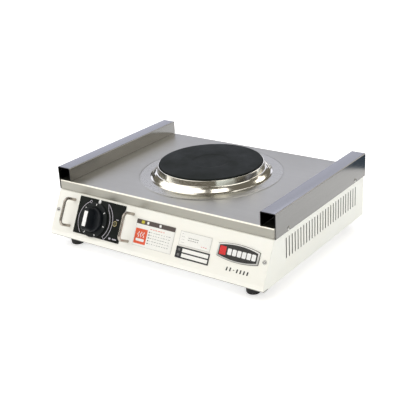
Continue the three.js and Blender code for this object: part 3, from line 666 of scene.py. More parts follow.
def panHeadTree():
    # a domed head with a cross recess, set on each point along the point's own "aim"
    tree, given, output = startTree("pan head screws", {
        "Head radius": 3.6 * mm,
        "Head height": 1.8 * mm,
        "Cross length": 3.6 * mm,
        "Cross width": 0.8 * mm,
        "Finish": None,
    })
    radius, height = given.outputs["Head radius"], given.outputs["Head height"]
    ball = addNode(tree, "GeometryNodeMeshUVSphere", {"Segments": 32, "Rings": 20, "Radius": 1.0})
    size = combine(tree, radius, radius, height)
    dome = addNode(tree, "GeometryNodeTransform", {"Geometry": ball.outputs["Mesh"], "Scale": size})
    deep = calc(tree, "MULTIPLY", height, 1.3)
    slot = addNode(tree, "GeometryNodeMeshCube", {
        "Size": combine(tree, given.outputs["Cross length"], given.outputs["Cross width"], deep),
    })
    across = addNode(tree, "GeometryNodeTransform", {
        "Geometry": slot.outputs["Mesh"],
        "Rotation": (0, 0, math.pi / 2),
    })
    under = addNode(tree, "GeometryNodeMeshCube", {"Size": (0.02, 0.02, 0.01)})
    lowered = addNode(tree, "GeometryNodeTransform", {
        "Geometry": under.outputs["Mesh"],
        "Translation": (0, 0, -0.005),
    })
    lift = combine(tree, z=height)
    tools = [lowered.outputs[0]]
    for part in (slot, across):
        raised = {"Geometry": part.outputs[0], "Translation": lift}
        tools.append(addNode(tree, "GeometryNodeTransform", raised).outputs[0])
    head = dome.outputs[0]
    for tool in tools:
        bite = addNode(tree, "GeometryNodeMeshBoolean", {"Mesh 1": head, "Mesh 2": tool},
                       operation="DIFFERENCE", solver="EXACT")
        head = bite.outputs["Mesh"]
    aim = addNode(tree, "GeometryNodeInputNamedAttribute", {"Name": "aim"}, data_type="FLOAT_VECTOR")
    turn = addNode(tree, "FunctionNodeAlignRotationToVector", {"Vector": aim.outputs["Attribute"]}, axis="Z")
    placed = addNode(tree, "GeometryNodeInstanceOnPoints", {
        "Points": given.outputs["Geometry"],
        "Instance": head,
        "Rotation": turn.outputs[0],
    })
    endTree(tree, placed.outputs[0], given, output)
    return tree


def ventTree():
    # a row of round-ended slots punched through a wall that faces X
    tree, given, output = startTree("vent slots", {
        "Count": 27,
        "First": 0.0,
        "Pitch": 9.0 * mm,
        "Middle height": 0.0,
        "Slot width": 2.8 * mm,
        "Slot height": 35.0 * mm,
        "Reach": 6.0 * mm,
        "Wall": 0.0,
        "Finish": None,
    })
    out = given.outputs
    line = addNode(tree, "GeometryNodeMeshLine", {
        "Count": out["Count"],
        "Start Location": combine(tree, out["Wall"], out["First"], out["Middle height"]),
        "Offset": combine(tree, 0.0, out["Pitch"], 0.0),
    })
    end = calc(tree, "MULTIPLY", out["Slot width"], 0.5)
    straight = calc(tree, "SUBTRACT", out["Slot height"], out["Slot width"])
    block = addNode(tree, "GeometryNodeMeshCube", {
        "Size": combine(tree, out["Reach"], out["Slot width"], straight),
    })
    drill = addNode(tree, "GeometryNodeMeshCylinder", {"Vertices": 20, "Radius": end, "Depth": out["Reach"]})
    tool = block.outputs["Mesh"]
    for side in (0.5, -0.5):
        lift = combine(tree, z=calc(tree, "MULTIPLY", straight, side))
        laid = addNode(tree, "GeometryNodeTransform", {
            "Geometry": drill.outputs["Mesh"],
            "Rotation": (0, math.pi / 2, 0),
            "Translation": lift,
        })
        whole = addNode(tree, "GeometryNodeMeshBoolean", operation="UNION", solver="EXACT")
        tree.links.new(tool, whole.inputs["Mesh 2"])
        tree.links.new(laid.outputs[0], whole.inputs["Mesh 2"])
        tool = whole.outputs["Mesh"]
    row = addNode(tree, "GeometryNodeInstanceOnPoints", {"Points": line.outputs[0], "Instance": tool})
    tools = addNode(tree, "GeometryNodeRealizeInstances", {"Geometry": row.outputs[0]})
    punched = addNode(tree, "GeometryNodeMeshBoolean", {
        "Mesh 1": out["Geometry"],
        "Mesh 2": tools.outputs[0],
    }, operation="DIFFERENCE", solver="EXACT")
    endTree(tree, punched.outputs["Mesh"], given, output)
    return tree


def barTree():
    # a round bar along the object's own line
    tree, given, output = startTree("round bar", {"Bar radius": 2.5 * mm, "Sides": 24, "Finish": None})
    path = addNode(tree, "GeometryNodeMeshToCurve", {"Mesh": given.outputs["Geometry"]})
    section = addNode(tree, "GeometryNodeCurvePrimitiveCircle", {
        "Radius": given.outputs["Bar radius"],
        "Resolution": given.outputs["Sides"],
    })
    bar = addNode(tree, "GeometryNodeCurveToMesh", {
        "Curve": path.outputs[0],
        "Profile Curve": section.outputs["Curve"],
        "Fill Caps": True,
    })
    endTree(tree, bar.outputs[0], given, output)
    return tree


def arcMarksTree():
    # short printed marks set round an arc, each pointing to its middle
    tree, given, output = startTree("arc marks", {
        "Count": 6,
        "Arc radius": 26.0 * mm,
        "First angle": 0.0,
        "Step": 0.5,
        "Mark width": 1.5 * mm,
        "Mark length": 3.0 * mm,
        "Thickness": 0.1 * mm,
        "Height": 0.0,
        "Finish": None,
    })
    out = given.outputs
    points = addNode(tree, "GeometryNodePoints", {"Count": out["Count"]})
    index = addNode(tree, "GeometryNodeInputIndex").outputs[0]
    angle = calc(tree, "ADD", out["First angle"], calc(tree, "MULTIPLY", index, out["Step"]))
    x = calc(tree, "MULTIPLY", out["Arc radius"], calc(tree, "COSINE", angle))
    y = calc(tree, "MULTIPLY", out["Arc radius"], calc(tree, "SINE", angle))
    spots = addNode(tree, "GeometryNodeSetPosition", {
        "Geometry": points.outputs[0],
        "Position": combine(tree, x, y, out["Height"]),
    })
    bar = addNode(tree, "GeometryNodeMeshCube", {
        "Size": combine(tree, out["Mark length"], out["Mark width"], out["Thickness"]),
    })
    placed = addNode(tree, "GeometryNodeInstanceOnPoints", {
        "Points": spots.outputs[0],
        "Instance": bar.outputs["Mesh"],
        "Rotation": combine(tree, z=angle),
    })
    endTree(tree, placed.outputs[0], given, output)
    return tree


def textRowsTree():
    # rows of plain dashes of uneven length, which stand for small print
    tree, given, output = startTree("plain dashes", {
        "Rows": 4,
        "Dashes": 8,
        "Row pitch": 5.0 * mm,
        "Dash pitch": 5.0 * mm,
        "Dash height": 0.8 * mm,
        "Shortest": 1.2 * mm,
        "Longest": 4.2 * mm,
        "Thickness": 0.05 * mm,
        "Seed": 4,
        "Finish": None,
    })
    out = given.outputs
    count = calc(tree, "MULTIPLY", out["Rows"], out["Dashes"])
    points = addNode(tree, "GeometryNodePoints", {"Count": count})
    index = addNode(tree, "GeometryNodeInputIndex").outputs[0]
    row = calc(tree, "FLOOR", calc(tree, "DIVIDE", index, out["Dashes"]))
    column = calc(tree, "MODULO", index, out["Dashes"])
    across = calc(tree, "MULTIPLY", column, out["Dash pitch"])
    down = calc(tree, "MULTIPLY", row, calc(tree, "MULTIPLY", out["Row pitch"], -1.0))
    spots = addNode(tree, "GeometryNodeSetPosition", {
        "Geometry": points.outputs[0],
        "Position": combine(tree, across, down),
    })
    length = addNode(tree, "FunctionNodeRandomValue", {
        2: out["Shortest"],
        3: out["Longest"],
        "Seed": out["Seed"],
    }, data_type="FLOAT").outputs[1]
    dash = addNode(tree, "GeometryNodeMeshCube", {
        "Size": combine(tree, 1.0, out["Dash height"], out["Thickness"]),
    })
    placed = addNode(tree, "GeometryNodeInstanceOnPoints", {
        "Points": spots.outputs[0],
        "Instance": dash.outputs["Mesh"],
        "Scale": combine(tree, length, 1.0, 1.0),
    })
    endTree(tree, placed.outputs[0], given, output)
    return tree


panHead = panHeadTree()
ventRow = ventTree()
roundBar = barTree()
arcMarks = arcMarksTree()
textRows = textRowsTree()
print("node trees made")


def pointCloud(name, places, aims):
    mesh = bpy.data.meshes.new(name)
    mesh.from_pydata([tuple(p) for p in places], [], [])
    aim = mesh.attributes.new("aim", "FLOAT_VECTOR", "POINT")
    for value, direction in zip(aim.data, aims):
        value.vector = direction
    return addObject(name, mesh)


# top plate

topValues = {
    "fold": 2.1 * mm,           # outer radius of the folds
    "lipShort": 1.5 * mm,       # the lips are this much shorter than the plate at each end
    "padHeight": 1.2 * mm,
    "padEdge": 125 * mm,        # radius where the pressed pad ends
    "padSlope": 3.2 * mm,
    "groove": 0.25 * mm,        # shallow ring pressed round the spill ring
    "grooveAt": 118 * mm,
    "grooveWidth": 1.6 * mm,
    "hole": 83 * mm,
    "spokes": 240,
}


def padHeight(radius):
    v = topValues
    share = min(max((v["padEdge"] - radius) / v["padSlope"] + 0.5, 0), 1)
    pad = v["padHeight"] * share * share * (3 - 2 * share)
    dip = v["groove"] * math.exp(-((radius - v["grooveAt"]) / v["grooveWidth"]) ** 2)
    return pad - dip


def makeTopPlate():
    v = topValues
    fold = v["fold"]
    halfX = topHigh.x
    frontY, rearY = topLow.y + fold, topHigh.y - fold
    centre = plateAxis
    corners = []
    for x, y in ((halfX, frontY), (halfX, rearY), (-halfX, rearY), (-halfX, frontY)):
        corners.append(math.atan2(y - centre.y, x - centre.x))
    angles = [2 * math.pi * i / v["spokes"] - math.pi for i in range(v["spokes"])]
    for corner in corners:
        nearest = min(range(len(angles)), key=lambda i: abs(angles[i] - corner))
        angles[nearest] = corner
    # wide rows of points under the ring, then close ones over the groove and the pad's edge
    radii = [v["hole"], 95 * mm, 104 * mm]
    radii += [(106 + step * 1.25) * mm for step in range(19)]
    count = len(angles)
    points, faces = [], []
    for radius in radii:
        for angle in angles:
            points.append((centre.x + radius * math.cos(angle), centre.y + radius * math.sin(angle),
                           topFace + padHeight(radius)))
    for angle in angles:
        dx, dy = math.cos(angle), math.sin(angle)
        reachX = (halfX if dx > 0 else -halfX) / dx if abs(dx) > 1e-9 else math.inf
        reachY = ((rearY if dy > 0 else frontY) - centre.y) / dy if abs(dy) > 1e-9 else math.inf
        reach = min(reachX, reachY)
        points.append((centre.x + reach * dx, centre.y + reach * dy, topFace))
    faces += latheFaces(len(radii) + 1, count, False)
    rim = len(radii) * count
    for edgeY, way in ((frontY, -1), (rearY, 1)):
        row = [i for i in range(count) if abs(points[rim + i][1] - edgeY) < 1e-6]
        row.sort(key=lambda i: points[rim + i][0])
        previous = [rim + i for i in row]
        bends = [math.pi / 2 * step / 6 for step in range(1, 7)]
        drops = [(math.sin(bend) * fold, fold - math.cos(bend) * fold) for bend in bends]
        drops.append((fold, topFace - topLow.z))
        for out, down in drops:
            made = []
            for i in row:
                x = points[rim + i][0]
                limit = halfX - v["lipShort"]
                made.append(len(points))
                points.append((max(-limit, min(limit, x)), edgeY + way * out, topFace - down))
            for a, b, c, d in zip(previous, previous[1:], made[1:], made):
                faces.append([a, b, c, d])
            previous = made
    plate = newPiece("top_plate_sheet", points, faces, topSteel)
    wall = plate.modifiers.new("thickness", "SOLIDIFY")
    wall.thickness = sheet
    wall.offset = -1
    wall.use_even_offset = False
    settle(plate)
    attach(plate, "casing")
    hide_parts("top_plate")


makeTopPlate()
print("top plate made")


# side rails

railValues = {
    "width": 27 * mm,
    "fold": 1.8 * mm,
    "foot": 0.3 * mm,   # inner wall's clearance over the top plate
}


def makeRail(side, name, node):
    v = railValues
    outer = railHigh.x
    inner = outer - v["width"]
    line = [(outer, railLow.z), (outer, railHigh.z), (inner, railHigh.z), (inner, topFace + v["foot"])]
    bent = rounded(line, v["fold"], 6)
    section = [(x * side, z) for x, z in bent]
    if side < 0:
        section = section[::-1]
    rail = bentSheet(name, section, sheet, (railLow.y, railHigh.y), "Y", railSteel)
    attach(rail, "casing")
    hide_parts(node)


makeRail(1, "right_rail_channel", "right_rail")
makeRail(-1, "left_rail_channel", "left_rail")
print("rails made")


# casing panels

caseValues = {
    "fold": 2.2 * mm,
    "skirtFold": 4.5 * mm,
    "ledge": 0.3 * mm,       # clearance under the lip
    "skirt": 10 * mm,
    "return": 14 * mm,
    "rearFlangeEnd": 8 * mm,  # the rear flanges stop this far from the corners
    "slots": 27,
    "slotPitch": 9 * mm,
    "slotWidth": 2.8 * mm,
    "slotHeight": 35 * mm,
    "slotsDown": 27 * mm,     # from the flat of the top plate to the slots' upper ends
}


def panelLineY(z):
    # the sloping face's y at a height
    return knobPoint.y - (z - knobPoint.z) * panelOut.z / panelOut.y


def makeFrontPanel():
    v = caseValues
    ledgeZ = topLow.z - v["ledge"]
    footZ = frontLow.z + v["skirt"]
    line = [
        (topLow.y + sheet + gap, frontHigh.z),
        (topLow.y + sheet + gap, ledgeZ, 0.6 * mm),
        (panelLineY(ledgeZ), ledgeZ, v["fold"] * 0.55),
        (panelLineY(footZ), footZ, v["skirtFold"]),
        (frontLow.y, frontLow.z, v["fold"]),
        (frontLow.y + v["return"], frontLow.z),
    ]
    bent = rounded(line, v["fold"], 7)
    panel = bentSheet("front_panel_sheet", bent, sheet, (frontLow.x, frontHigh.x), "X", frontPaint)
    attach(panel, "casing")
    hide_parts("front_panel")


def makeSidePanel(side, name, node):
    v = caseValues
    low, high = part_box(node)
    outerX = high.x if side > 0 else low.x
    innerX = outerX - side * sheet
    inset = sheet + gap
    frontLine = [
        (topLow.y + inset, high.z),
        (topLow.y + inset, topLow.z - v["ledge"]),
        (panelLineY(topLow.z), topLow.z - v["ledge"]),
        (panelLineY(frontLow.z + v["skirt"]), frontLow.z + v["skirt"]),
        (frontLow.y, low.z),
        (frontLow.y + v["return"], low.z),
    ]
    behind = offsetLine(frontLine, inset)
    step = frontLow.y + v["return"] + gap
    outline = [*behind[:4], (behind[4][0], low.z + inset), (step, low.z + inset), (step, low.z),
               (high.y, low.z), (high.y, high.z)]
    count = len(outline)
    points = [(outerX, y, z) for y, z in outline] + [(innerX, y, z) for y, z in outline]
    faces = [list(range(count)), [count + i for i in range(count)]]
    faces += [[i, (i + 1) % count, count + (i + 1) % count, count + i] for i in range(count)]
    wall = newPiece(name, points, faces, shadedSidePaint)
    lip = v["return"]
    flanges = []
    end = v["rearFlangeEnd"]
    for a, b in (((high.y - sheet, low.z + end), (high.y, high.z - end)),
                 ((step, low.z), (high.y - lip, low.z + sheet))):
        x = sorted((innerX + side * 0.2 * mm, outerX - side * lip))
        corners = [(cx, cy, cz) for cz in (a[1], b[1]) for cy in (a[0], b[0]) for cx in x]
        sides = [[0, 1, 3, 2], [4, 5, 7, 6], [0, 1, 5, 4], [2, 3, 7, 6], [0, 2, 6, 4], [1, 3, 7, 5]]
        flanges.append(newPiece(name + "_flange", corners, sides, shadedSidePaint))
    shapeWith(wall, flanges, "UNION")
    vents = {
        "Count": v["slots"],
        "First": (railLow.y + railHigh.y - (v["slots"] - 1) * v["slotPitch"]) / 2,
        "Pitch": v["slotPitch"],
        "Slot width": v["slotWidth"],
        "Slot height": v["slotHeight"],
        "Middle height": topFace - v["slotsDown"] - v["slotHeight"] / 2,
        "Wall": (outerX + innerX) / 2,
        "Reach": 5 * mm,
        "Finish": shadedSidePaint,
    }
    runTree(wall, ventRow, vents)
    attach(wall, "casing")
    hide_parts(node)


makeFrontPanel()
makeSidePanel(1, "right_side_wall", "right_side_panel")
makeSidePanel(-1, "left_side_wall", "left_side_panel")
print("casing made")


# hot plate and spill ring

plateValues = {
    "segments": 180,
    "edge": 1.6 * mm,
    "recess": 30 * mm,
    "recessDepth": 0.6 * mm,
    "recessSlope": 5 * mm,
    "recessBend": 9 * mm,
    "studHole": 4.3 * mm,
    "studDepth": 7.8 * mm,
    "boss": 30 * mm,
    "cavity": 80 * mm,       # radius of the element's space under the plate
    "cavityDepth": 5.5 * mm,
}


def makeHotPlate():
    v = plateValues
    radius = (plateHigh.x - plateLow.x) / 2
    top, bottom = plateHigh.z, plateLow.z
    cavityTop = bottom + v["cavityDepth"]
    studTop = bottom + v["studDepth"]
    profile = [
        (0, studTop),
        (v["studHole"], studTop, 0),
        (v["studHole"], bottom, 0),
        (v["boss"], bottom, 0),
        (v["boss"], cavityTop, 0),
        (v["cavity"], cavityTop, 0),
        (v["cavity"], bottom, 0),
        (radius, bottom, 0.8 * mm),
        (radius, top, v["edge"]),
        (v["recess"] + v["recessSlope"], top, v["recessBend"]),
        (v["recess"], top - v["recessDepth"], v["recessBend"]),
        (0, top - v["recessDepth"]),
    ]
    plate = turnedPiece("cast_plate", rounded(profile, 0.5 * mm, 5), v["segments"], castIron, onPlateAxis)
    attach(plate, "casing")
    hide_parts("hotplate")


ringValues = {"segments": 200, "bandTop": 20.2, "shoulder": 10.2, "rim": 106}


def makeSpillRing():
    # heights and radii in mm over the flat of the top plate
    v = ringValues
    outside = [
        (84.6, 4.1, 0),
        (90.7, 4.1, 0.5),
        (90.5, v["bandTop"], 0.5),
        (91.9, v["bandTop"] - 0.2, 1.0),
        (93.9, v["shoulder"] + 0.5, 1.1),
        (95.6, v["shoulder"] - 0.3, 1.6),
        (98.6, 7.6, 9),
        (102.8, 3.4, 8),
        (v["rim"], 1.55, 0.8),
        (v["rim"], 1.35, 0),
    ]
    inside = [
        (v["rim"] - 0.8, 1.3, 0),
        (102.2, 2.7, 8),
        (98.0, 6.9, 9),
        (95.2, v["shoulder"] - 1.1, 1.2),
        (93.2, v["shoulder"] - 0.6, 1.0),
        (92.0, 3.4, 0.6),
        (84.6, 3.4, 0),
    ]
    line = [(r * mm, topFace + h * mm, c * mm) for r, h, c in outside + inside]
    profile = rounded(line, 0.4 * mm, 6, closed=True)
    ring = turnedPiece("spill_ring_pressing", profile, v["segments"], polishedSteel,
                       onPlateAxis, 50)
    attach(ring, "casing")
    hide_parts("spill_ring")


makeHotPlate()
makeSpillRing()
print("hot plate made")


# dial plate, print and lamp

dialValues = {
    "width": 102 * mm,
    "height": 64 * mm,
    "middle": 10 * mm,       # right of the knob's axis
    "corner": 0.8 * mm,
    "ink": 0.06 * mm,
    "stroke": 0.95 * mm,
    "face": 1.3 * mm,        # over the panel
    "leftArc": (33.2 * mm, 35.6 * mm),   # radius at its start and its end
    "ringMark": (-15 * mm, 29.4 * mm),   # middle of the small ring that ends the arc
    "ringSize": 2.4 * mm,
    "trackOuter": 39.4 * mm,
    "trackInner": 34.6 * mm,
}
dialTop = 2.3 * mm - panelTop   # top edge, down from the knob's axis


def ringBand(inner, outer, first, last, steps=40):
    # an arc-shaped outline; inner and outer are (start, end) radii and angles are in degrees
    loop = []
    for radii, way in ((outer, 1), (inner, -1)):
        for step in range(steps + 1):
            share = step / steps if way > 0 else 1 - step / steps
            angle = math.radians(first + (last - first) * share)
            radius = radii[0] + (radii[1] - radii[0]) * share
            loop.append((radius * math.cos(angle), radius * math.sin(angle)))
    area = sum(a[0] * b[1] - b[0] * a[1] for a, b in zip(loop, loop[1:] + loop[:1]))
    return loop if area > 0 else loop[::-1]


def inkPatch(outline, level, material):
    return slab("ink", outline, level, level + dialValues["ink"], material, panelPlace)


def makeDial():
    v = dialValues
    top = v["face"]
    middle = (v["middle"], -(v["height"] / 2 + dialTop))
    outline = boxOutline(v["width"], v["height"], v["corner"], middle)
    base = slab("dial_plate_face", outline, gap, top, dialPaint, panelPlace, 0.15 * mm)
    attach(base, "casing")
    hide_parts("dial_plate")
    s = v["stroke"]
    start, end = v["leftArc"]
    pale = [inkPatch(ringBand((start, end), (start + s, end + s), 121, 226), top, lilacInk)]
    turns = [2 * math.pi * i / 24 for i in range(24)]
    ringMark = [(v["ringMark"][0] + v["ringSize"] * math.cos(turn),
                 v["ringMark"][1] + v["ringSize"] * math.sin(turn)) for turn in turns]
    pale.append(flatRing(ringMark, offsetLoop(ringMark, s * 0.9), top, lilacInk))
    # a tapering track: outer line, inner line that leaves it at the top, and a closed lower end
    outer, inner = v["trackOuter"], v["trackInner"]
    pointed, parted, last = 53, 40, -43   # degrees
    for band in (((outer, outer), (outer + s, outer + s), pointed, last),
                 ((inner - s, inner - s), (inner, inner), parted, last),
                 ((outer - s, inner - s), (outer, inner), pointed, parted, 8),
                 ((inner - s, inner - s), (outer + s, outer + s), last, last - 1.2, 2)):
        pale.append(inkPatch(ringBand(*band), top, lilacInk))
    for centre, width, height in (((49 * mm, 9.6 * mm), 5.4 * mm, 1.3 * mm),
                                  ((41 * mm, -23.4 * mm), 4.4 * mm, 3.0 * mm),
                                  ((51 * mm, -23.4 * mm), 9 * mm, 1.9 * mm)):
        pale.append(inkPatch(boxOutline(width, height, 0.5 * mm, centre), top, lilacInk))
    white = [inkPatch(boxOutline(5.2 * mm, 7.0 * mm, 2.4 * mm, (3.6 * mm, 32.0 * mm), 6), top, whiteInk)]
    marks = joinPieces("dial_print", pale + white)
    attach(marks, "casing")


def flatRing(outer, inner, level, material):
    count = len(outer)
    high = level + dialValues["ink"]
    points = [(x, y, z) for loop, z in ((outer, level), (outer, high), (inner, high), (inner, level))
              for x, y in loop]
    return newPiece("ink", points, latheFaces(4, count, True), material, panelPlace)


def makeLamp():
    low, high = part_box("lamp_bezel")
    place = Matrix.Translation((low + high) / 2) @ panelTurn
    bezel = [(3.5, -0.8, 0), (4.6, -0.8, 0), (4.6, 0.3, 0.5), (4.0, 0.8, 0.4), (3.5, 0.6, 0.2)]
    line = rounded([(r * mm, h * mm, c * mm) for r, h, c in bezel], 0.2 * mm, 4, closed=True)
    ring = turnedPiece("lamp_ring", line, 48, brassTrim, place)
    dome = [(0, -4.0), (3.2, -4.0, 0), (3.2, 0.5, 0.6), (2.2, 1.5, 1.2), (0, 2.0)]
    lens = turnedPiece("lamp_dome", rounded([(p[0] * mm, p[1] * mm, *[c * mm for c in p[2:]]) for p in dome],
                                            0.3 * mm, 6), 48, amberLens, place)
    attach(ring, "casing")
    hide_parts("lamp_bezel")
    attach(lens, "casing")
    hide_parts("lamp_lens")


makeDial()
makeLamp()
print("dial made")


# knob

knobValues = {
    "skirt": 29.5 * mm,
    "hub": 20.5 * mm,
    "lift": 3 * mm,
    "skirtTop": 5.2 * mm,
    "hubTop": 11 * mm,
    "height": 26 * mm,
    "gripWidth": 11 * mm,
    "gripLength": 40 * mm,
    "gripDraft": 0.9 * mm,   # the grip narrows by this towards its face
    "pointerWidth": 7.4 * mm,
    "pointerLength": 26 * mm,
    "bore": 3.3 * mm,
}


def gripRing(shrink):
    v = knobValues
    radius = v["gripWidth"] / 2 - shrink
    straight = v["gripLength"] / 2 - v["gripWidth"] / 2
    loop = []
    for middle, first in ((straight, 0), (-straight, math.pi)):
        for step in range(13):
            angle = first + math.pi * step / 12
            loop.append((radius * math.cos(angle), middle + radius * math.sin(angle)))
    return loop


def makeKnob():
    v = knobValues
    skirtLine = [
        (v["bore"], v["lift"], 0),
        (v["skirt"], v["lift"], 0.3 * mm),
        (v["skirt"], v["skirtTop"] - 0.5 * mm, 0.6 * mm),
        (v["skirt"] - 1.6 * mm, v["skirtTop"], 0.8 * mm),
        (v["hub"] + 1.2 * mm, v["skirtTop"], 0.8 * mm),
        (v["hub"] + 0.8 * mm, v["lift"] + 1 * mm, 0),
        (v["bore"], v["lift"] + 1 * mm, 0),
    ]
    skirt = turnedPiece("skirt", rounded(skirtLine, 0.4 * mm, 4, closed=True), 120, skirtPlastic, panelPlace)
    hubLine = [
        (v["bore"], v["lift"] + 1.2 * mm, 0),
        (v["hub"] + 0.6 * mm, v["lift"] + 1.2 * mm, 0),
        (v["hub"] + 0.6 * mm, v["skirtTop"] + 0.2 * mm, 0),
        (v["hub"], v["hubTop"], 1.8 * mm),
        (v["bore"], v["hubTop"], 0),
    ]
    hub = turnedPiece("hub", rounded(hubLine, 0.4 * mm, 6, closed=True), 120, knobPlastic, panelPlace)
    levels = [(-0.4 * mm, v["hubTop"] - 1.5 * mm), (0, v["hubTop"] + 0.6 * mm)]
    levels += [(v["gripDraft"] * 0.7, v["height"] - 2.2 * mm)]
    edge = 1.6 * mm
    for step in range(1, 7):
        angle = math.pi / 2 * step / 6
        shrink = v["gripDraft"] + edge * (1 - math.cos(angle))
        levels.append((shrink, v["height"] - edge * (1 - math.sin(angle))))
    loops = [(gripRing(shrink), level) for shrink, level in levels]
    count = len(loops[0][0])
    points = [(x, y, level) for loop, level in loops for x, y in loop]
    faces = latheFaces(len(loops), count, False)
    faces += [list(range(count)), [len(points) - count + i for i in range(count)]]
    grip = newPiece("grip", points, faces, knobPlastic, panelPlace)
    pocket = slab("pocket", boxOutline(v["pointerWidth"] + 0.1 * mm, v["pointerLength"] + 0.1 * mm, 0.8 * mm),
                  v["height"] - 0.7 * mm, v["height"] + 1 * mm, knobPlastic, panelPlace)
    shapeWith(grip, [pocket], sharp=30)
    whole = joinPieces("knob_moulding", [skirt, hub, grip])
    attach(whole, "knob")
    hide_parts("control_knob")
    pointer = slab("knob_pointer_bar", boxOutline(v["pointerWidth"], v["pointerLength"], 0.8 * mm),
                   v["height"] - 0.65 * mm, v["height"] + 0.12 * mm, whitePlastic, panelPlace, 0.2 * mm)
    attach(pointer, "knob")
    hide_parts("knob_pointer")
    marks = pointCloud("skirt_marks", [(0, 0, 0)], [(0, 0, 1)])
    runTree(marks, arcMarks, {
        "Count": 6,
        "Arc radius": 26.2 * mm,
        "First angle": math.radians(139),
        "Step": math.radians(-51.6),
        "Mark width": 1.5 * mm,
        "Mark length": 3.2 * mm,
        "Thickness": 0.12 * mm,
        "Height": v["skirtTop"] + 0.04 * mm,
        "Finish": whiteInk,
    })
    marks.data.transform(panelPlace)
    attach(marks, "knob")


makeKnob()
print("knob made")


# knob guards

guardValues = {
    "bar": 2.5 * mm,
    "stand": 25 * mm,
    "bend": 8 * mm,
    "root": -8 * mm,
    "upperLeg": 12 * mm,    # down the panel from its top edge
    "lowerLeg": 58 * mm,
}


def makeGuard(side):
    v = guardValues
    low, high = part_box(side + "_guard")
    x = (low.x + high.x) / 2 - knobPoint.x
    upper, lower = panelTop - v["upperLeg"], panelTop - v["lowerLeg"]
    line = [(upper, v["root"]), (upper, v["stand"]), (lower, v["stand"]), (lower, v["root"])]
    path = rounded(line, v["bend"], 14)
    mesh = bpy.data.meshes.new(side + "_guard_bar")
    mesh.from_pydata([tuple(onPanel(x, up, out)) for up, out in path],
                     [(i, i + 1) for i in range(len(path) - 1)], [])
    guard = addObject(side + "_guard_bar", mesh)
    runTree(guard, roundBar, {"Bar radius": v["bar"], "Sides": 28, "Finish": guardSteel})
    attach(guard, "casing")
    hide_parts(side + "_guard")


for sideName in ("left", "right"):
    makeGuard(sideName)
print("guards made")


# labels and badge

labelLevel = 0.7 * mm   # face of the films over the panel


def panelRect(node):
    # a film's middle and size in the panel's own x and y
    low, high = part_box(node)
    middle = (low + high) / 2 - knobPoint
    height = (high.z - low.z) / panelUp.z
    return middle.x, middle.dot(panelUp), high.x - low.x, height


def ink(centre, size, material, level=labelLevel, corner=0.3 * mm):
    outline = boxOutline(size[0], size[1], corner, centre, 3)
    return slab("ink", outline, level, level + dialValues["ink"], material, panelPlace)


def frameLines(x, y, width, height, stroke, material):
    lines = []
    upright = (stroke, height - 2 * stroke)
    for side in (-1, 1):
        lines.append(ink((x, y + side * (height - stroke) / 2), (width, stroke), material, corner=0))
        lines.append(ink((x + side * (width - stroke) / 2, y), upright, material, corner=0))
    return lines


def dashes(x, y, counts, seed, material):
    # counts holds the rows and dashes, then in mm both pitches, the height, and the shortest and longest dash
    names = ("Row pitch", "Dash pitch", "Dash height", "Shortest", "Longest")
    values = {name: size * mm for name, size in zip(names, counts[2:])}
    values.update({"Rows": counts[0], "Dashes": counts[1], "Seed": seed, "Finish": material})
    rows = pointCloud("rows", [(0, 0, 0)], [(0, 0, 1)])
    runTree(rows, textRows, values)
    rows.data.transform(panelPlace @ Matrix.Translation((x, y, labelLevel + dialValues["ink"] / 2)))
    return rows


def filmBase(name, node, corner, material=None):
    x, y, width, height = panelRect(node)
    film = slab(name, boxOutline(width, height, corner, (x, y)), gap, labelLevel, material or labelFilm,
                panelPlace, 0.1 * mm)
    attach(film, "casing")
    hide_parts(node)
    return x, y, width, height


def makeCareLabel():
    # a plain two-part care label: header band, an orange field with a steam mark, and rows of dashes
    x, y, width, height = filmBase("care_label_film", "caution_label", 1.2 * mm)
    left, top = x - width / 2, y + height / 2
    parts = frameLines(x, y, width, height, 0.35 * mm, outlineInk)
    band = 7.6 * mm
    parts.append(ink((x, top - band / 2), (width, band), taupeInk))
    over = labelLevel + dialValues["ink"]
    parts.append(ink((left + 13 * mm, top - band / 2), (6.4 * mm, 5 * mm), yellowInk, over, 1.6 * mm))
    for at in (23.4, 48.6):
        parts.append(ink((left + at * mm, top - band / 2), (4.2 * mm, 4.4 * mm), whiteInk, over, 1.2 * mm))
    fieldX, fieldY = left + 13.6 * mm, top - 27.5 * mm
    parts.append(ink((fieldX, fieldY), (24.5 * mm, 25 * mm), orangeInk, corner=0.8 * mm))
    parts.append(ink((fieldX, fieldY - 6 * mm), (17 * mm, 4.4 * mm), whiteInk, over, 1.6 * mm))
    for lean in (-5.2, 0, 5.2):
        wave = [((lean + 1.4 * math.sin(t * 1.3)) * mm, (-1.5 + t * 1.3) * mm) for t in range(8)]
        band = wave + [(a + 1.5 * mm, b) for a, b in wave[::-1]]
        loop = [(a + fieldX - 0.7 * mm, b + fieldY) for a, b in band[::-1]]
        parts.append(slab("ink", loop, over, over + dialValues["ink"], whiteInk, panelPlace))
    parts.append(dashes(left + 32 * mm, top - 12.5 * mm, (1, 6, 0, 5.2, 0.9, 1.5, 4.4), 3, orangeInk))
    parts.append(dashes(left + 34 * mm, top - 17.5 * mm, (5, 8, 4.6, 5.2, 0.8, 1.6, 4.6), 9, greyInk))
    for row in range(5):
        parts.append(ink((left + 29.8 * mm, top - (17.5 + 4.6 * row) * mm), (2.4 * mm, 1.8 * mm), taupeInk))
    finishPrint("care_label_print", parts)


def finishPrint(name, parts):
    whole = joinPieces(name, parts)
    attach(whole, "casing")


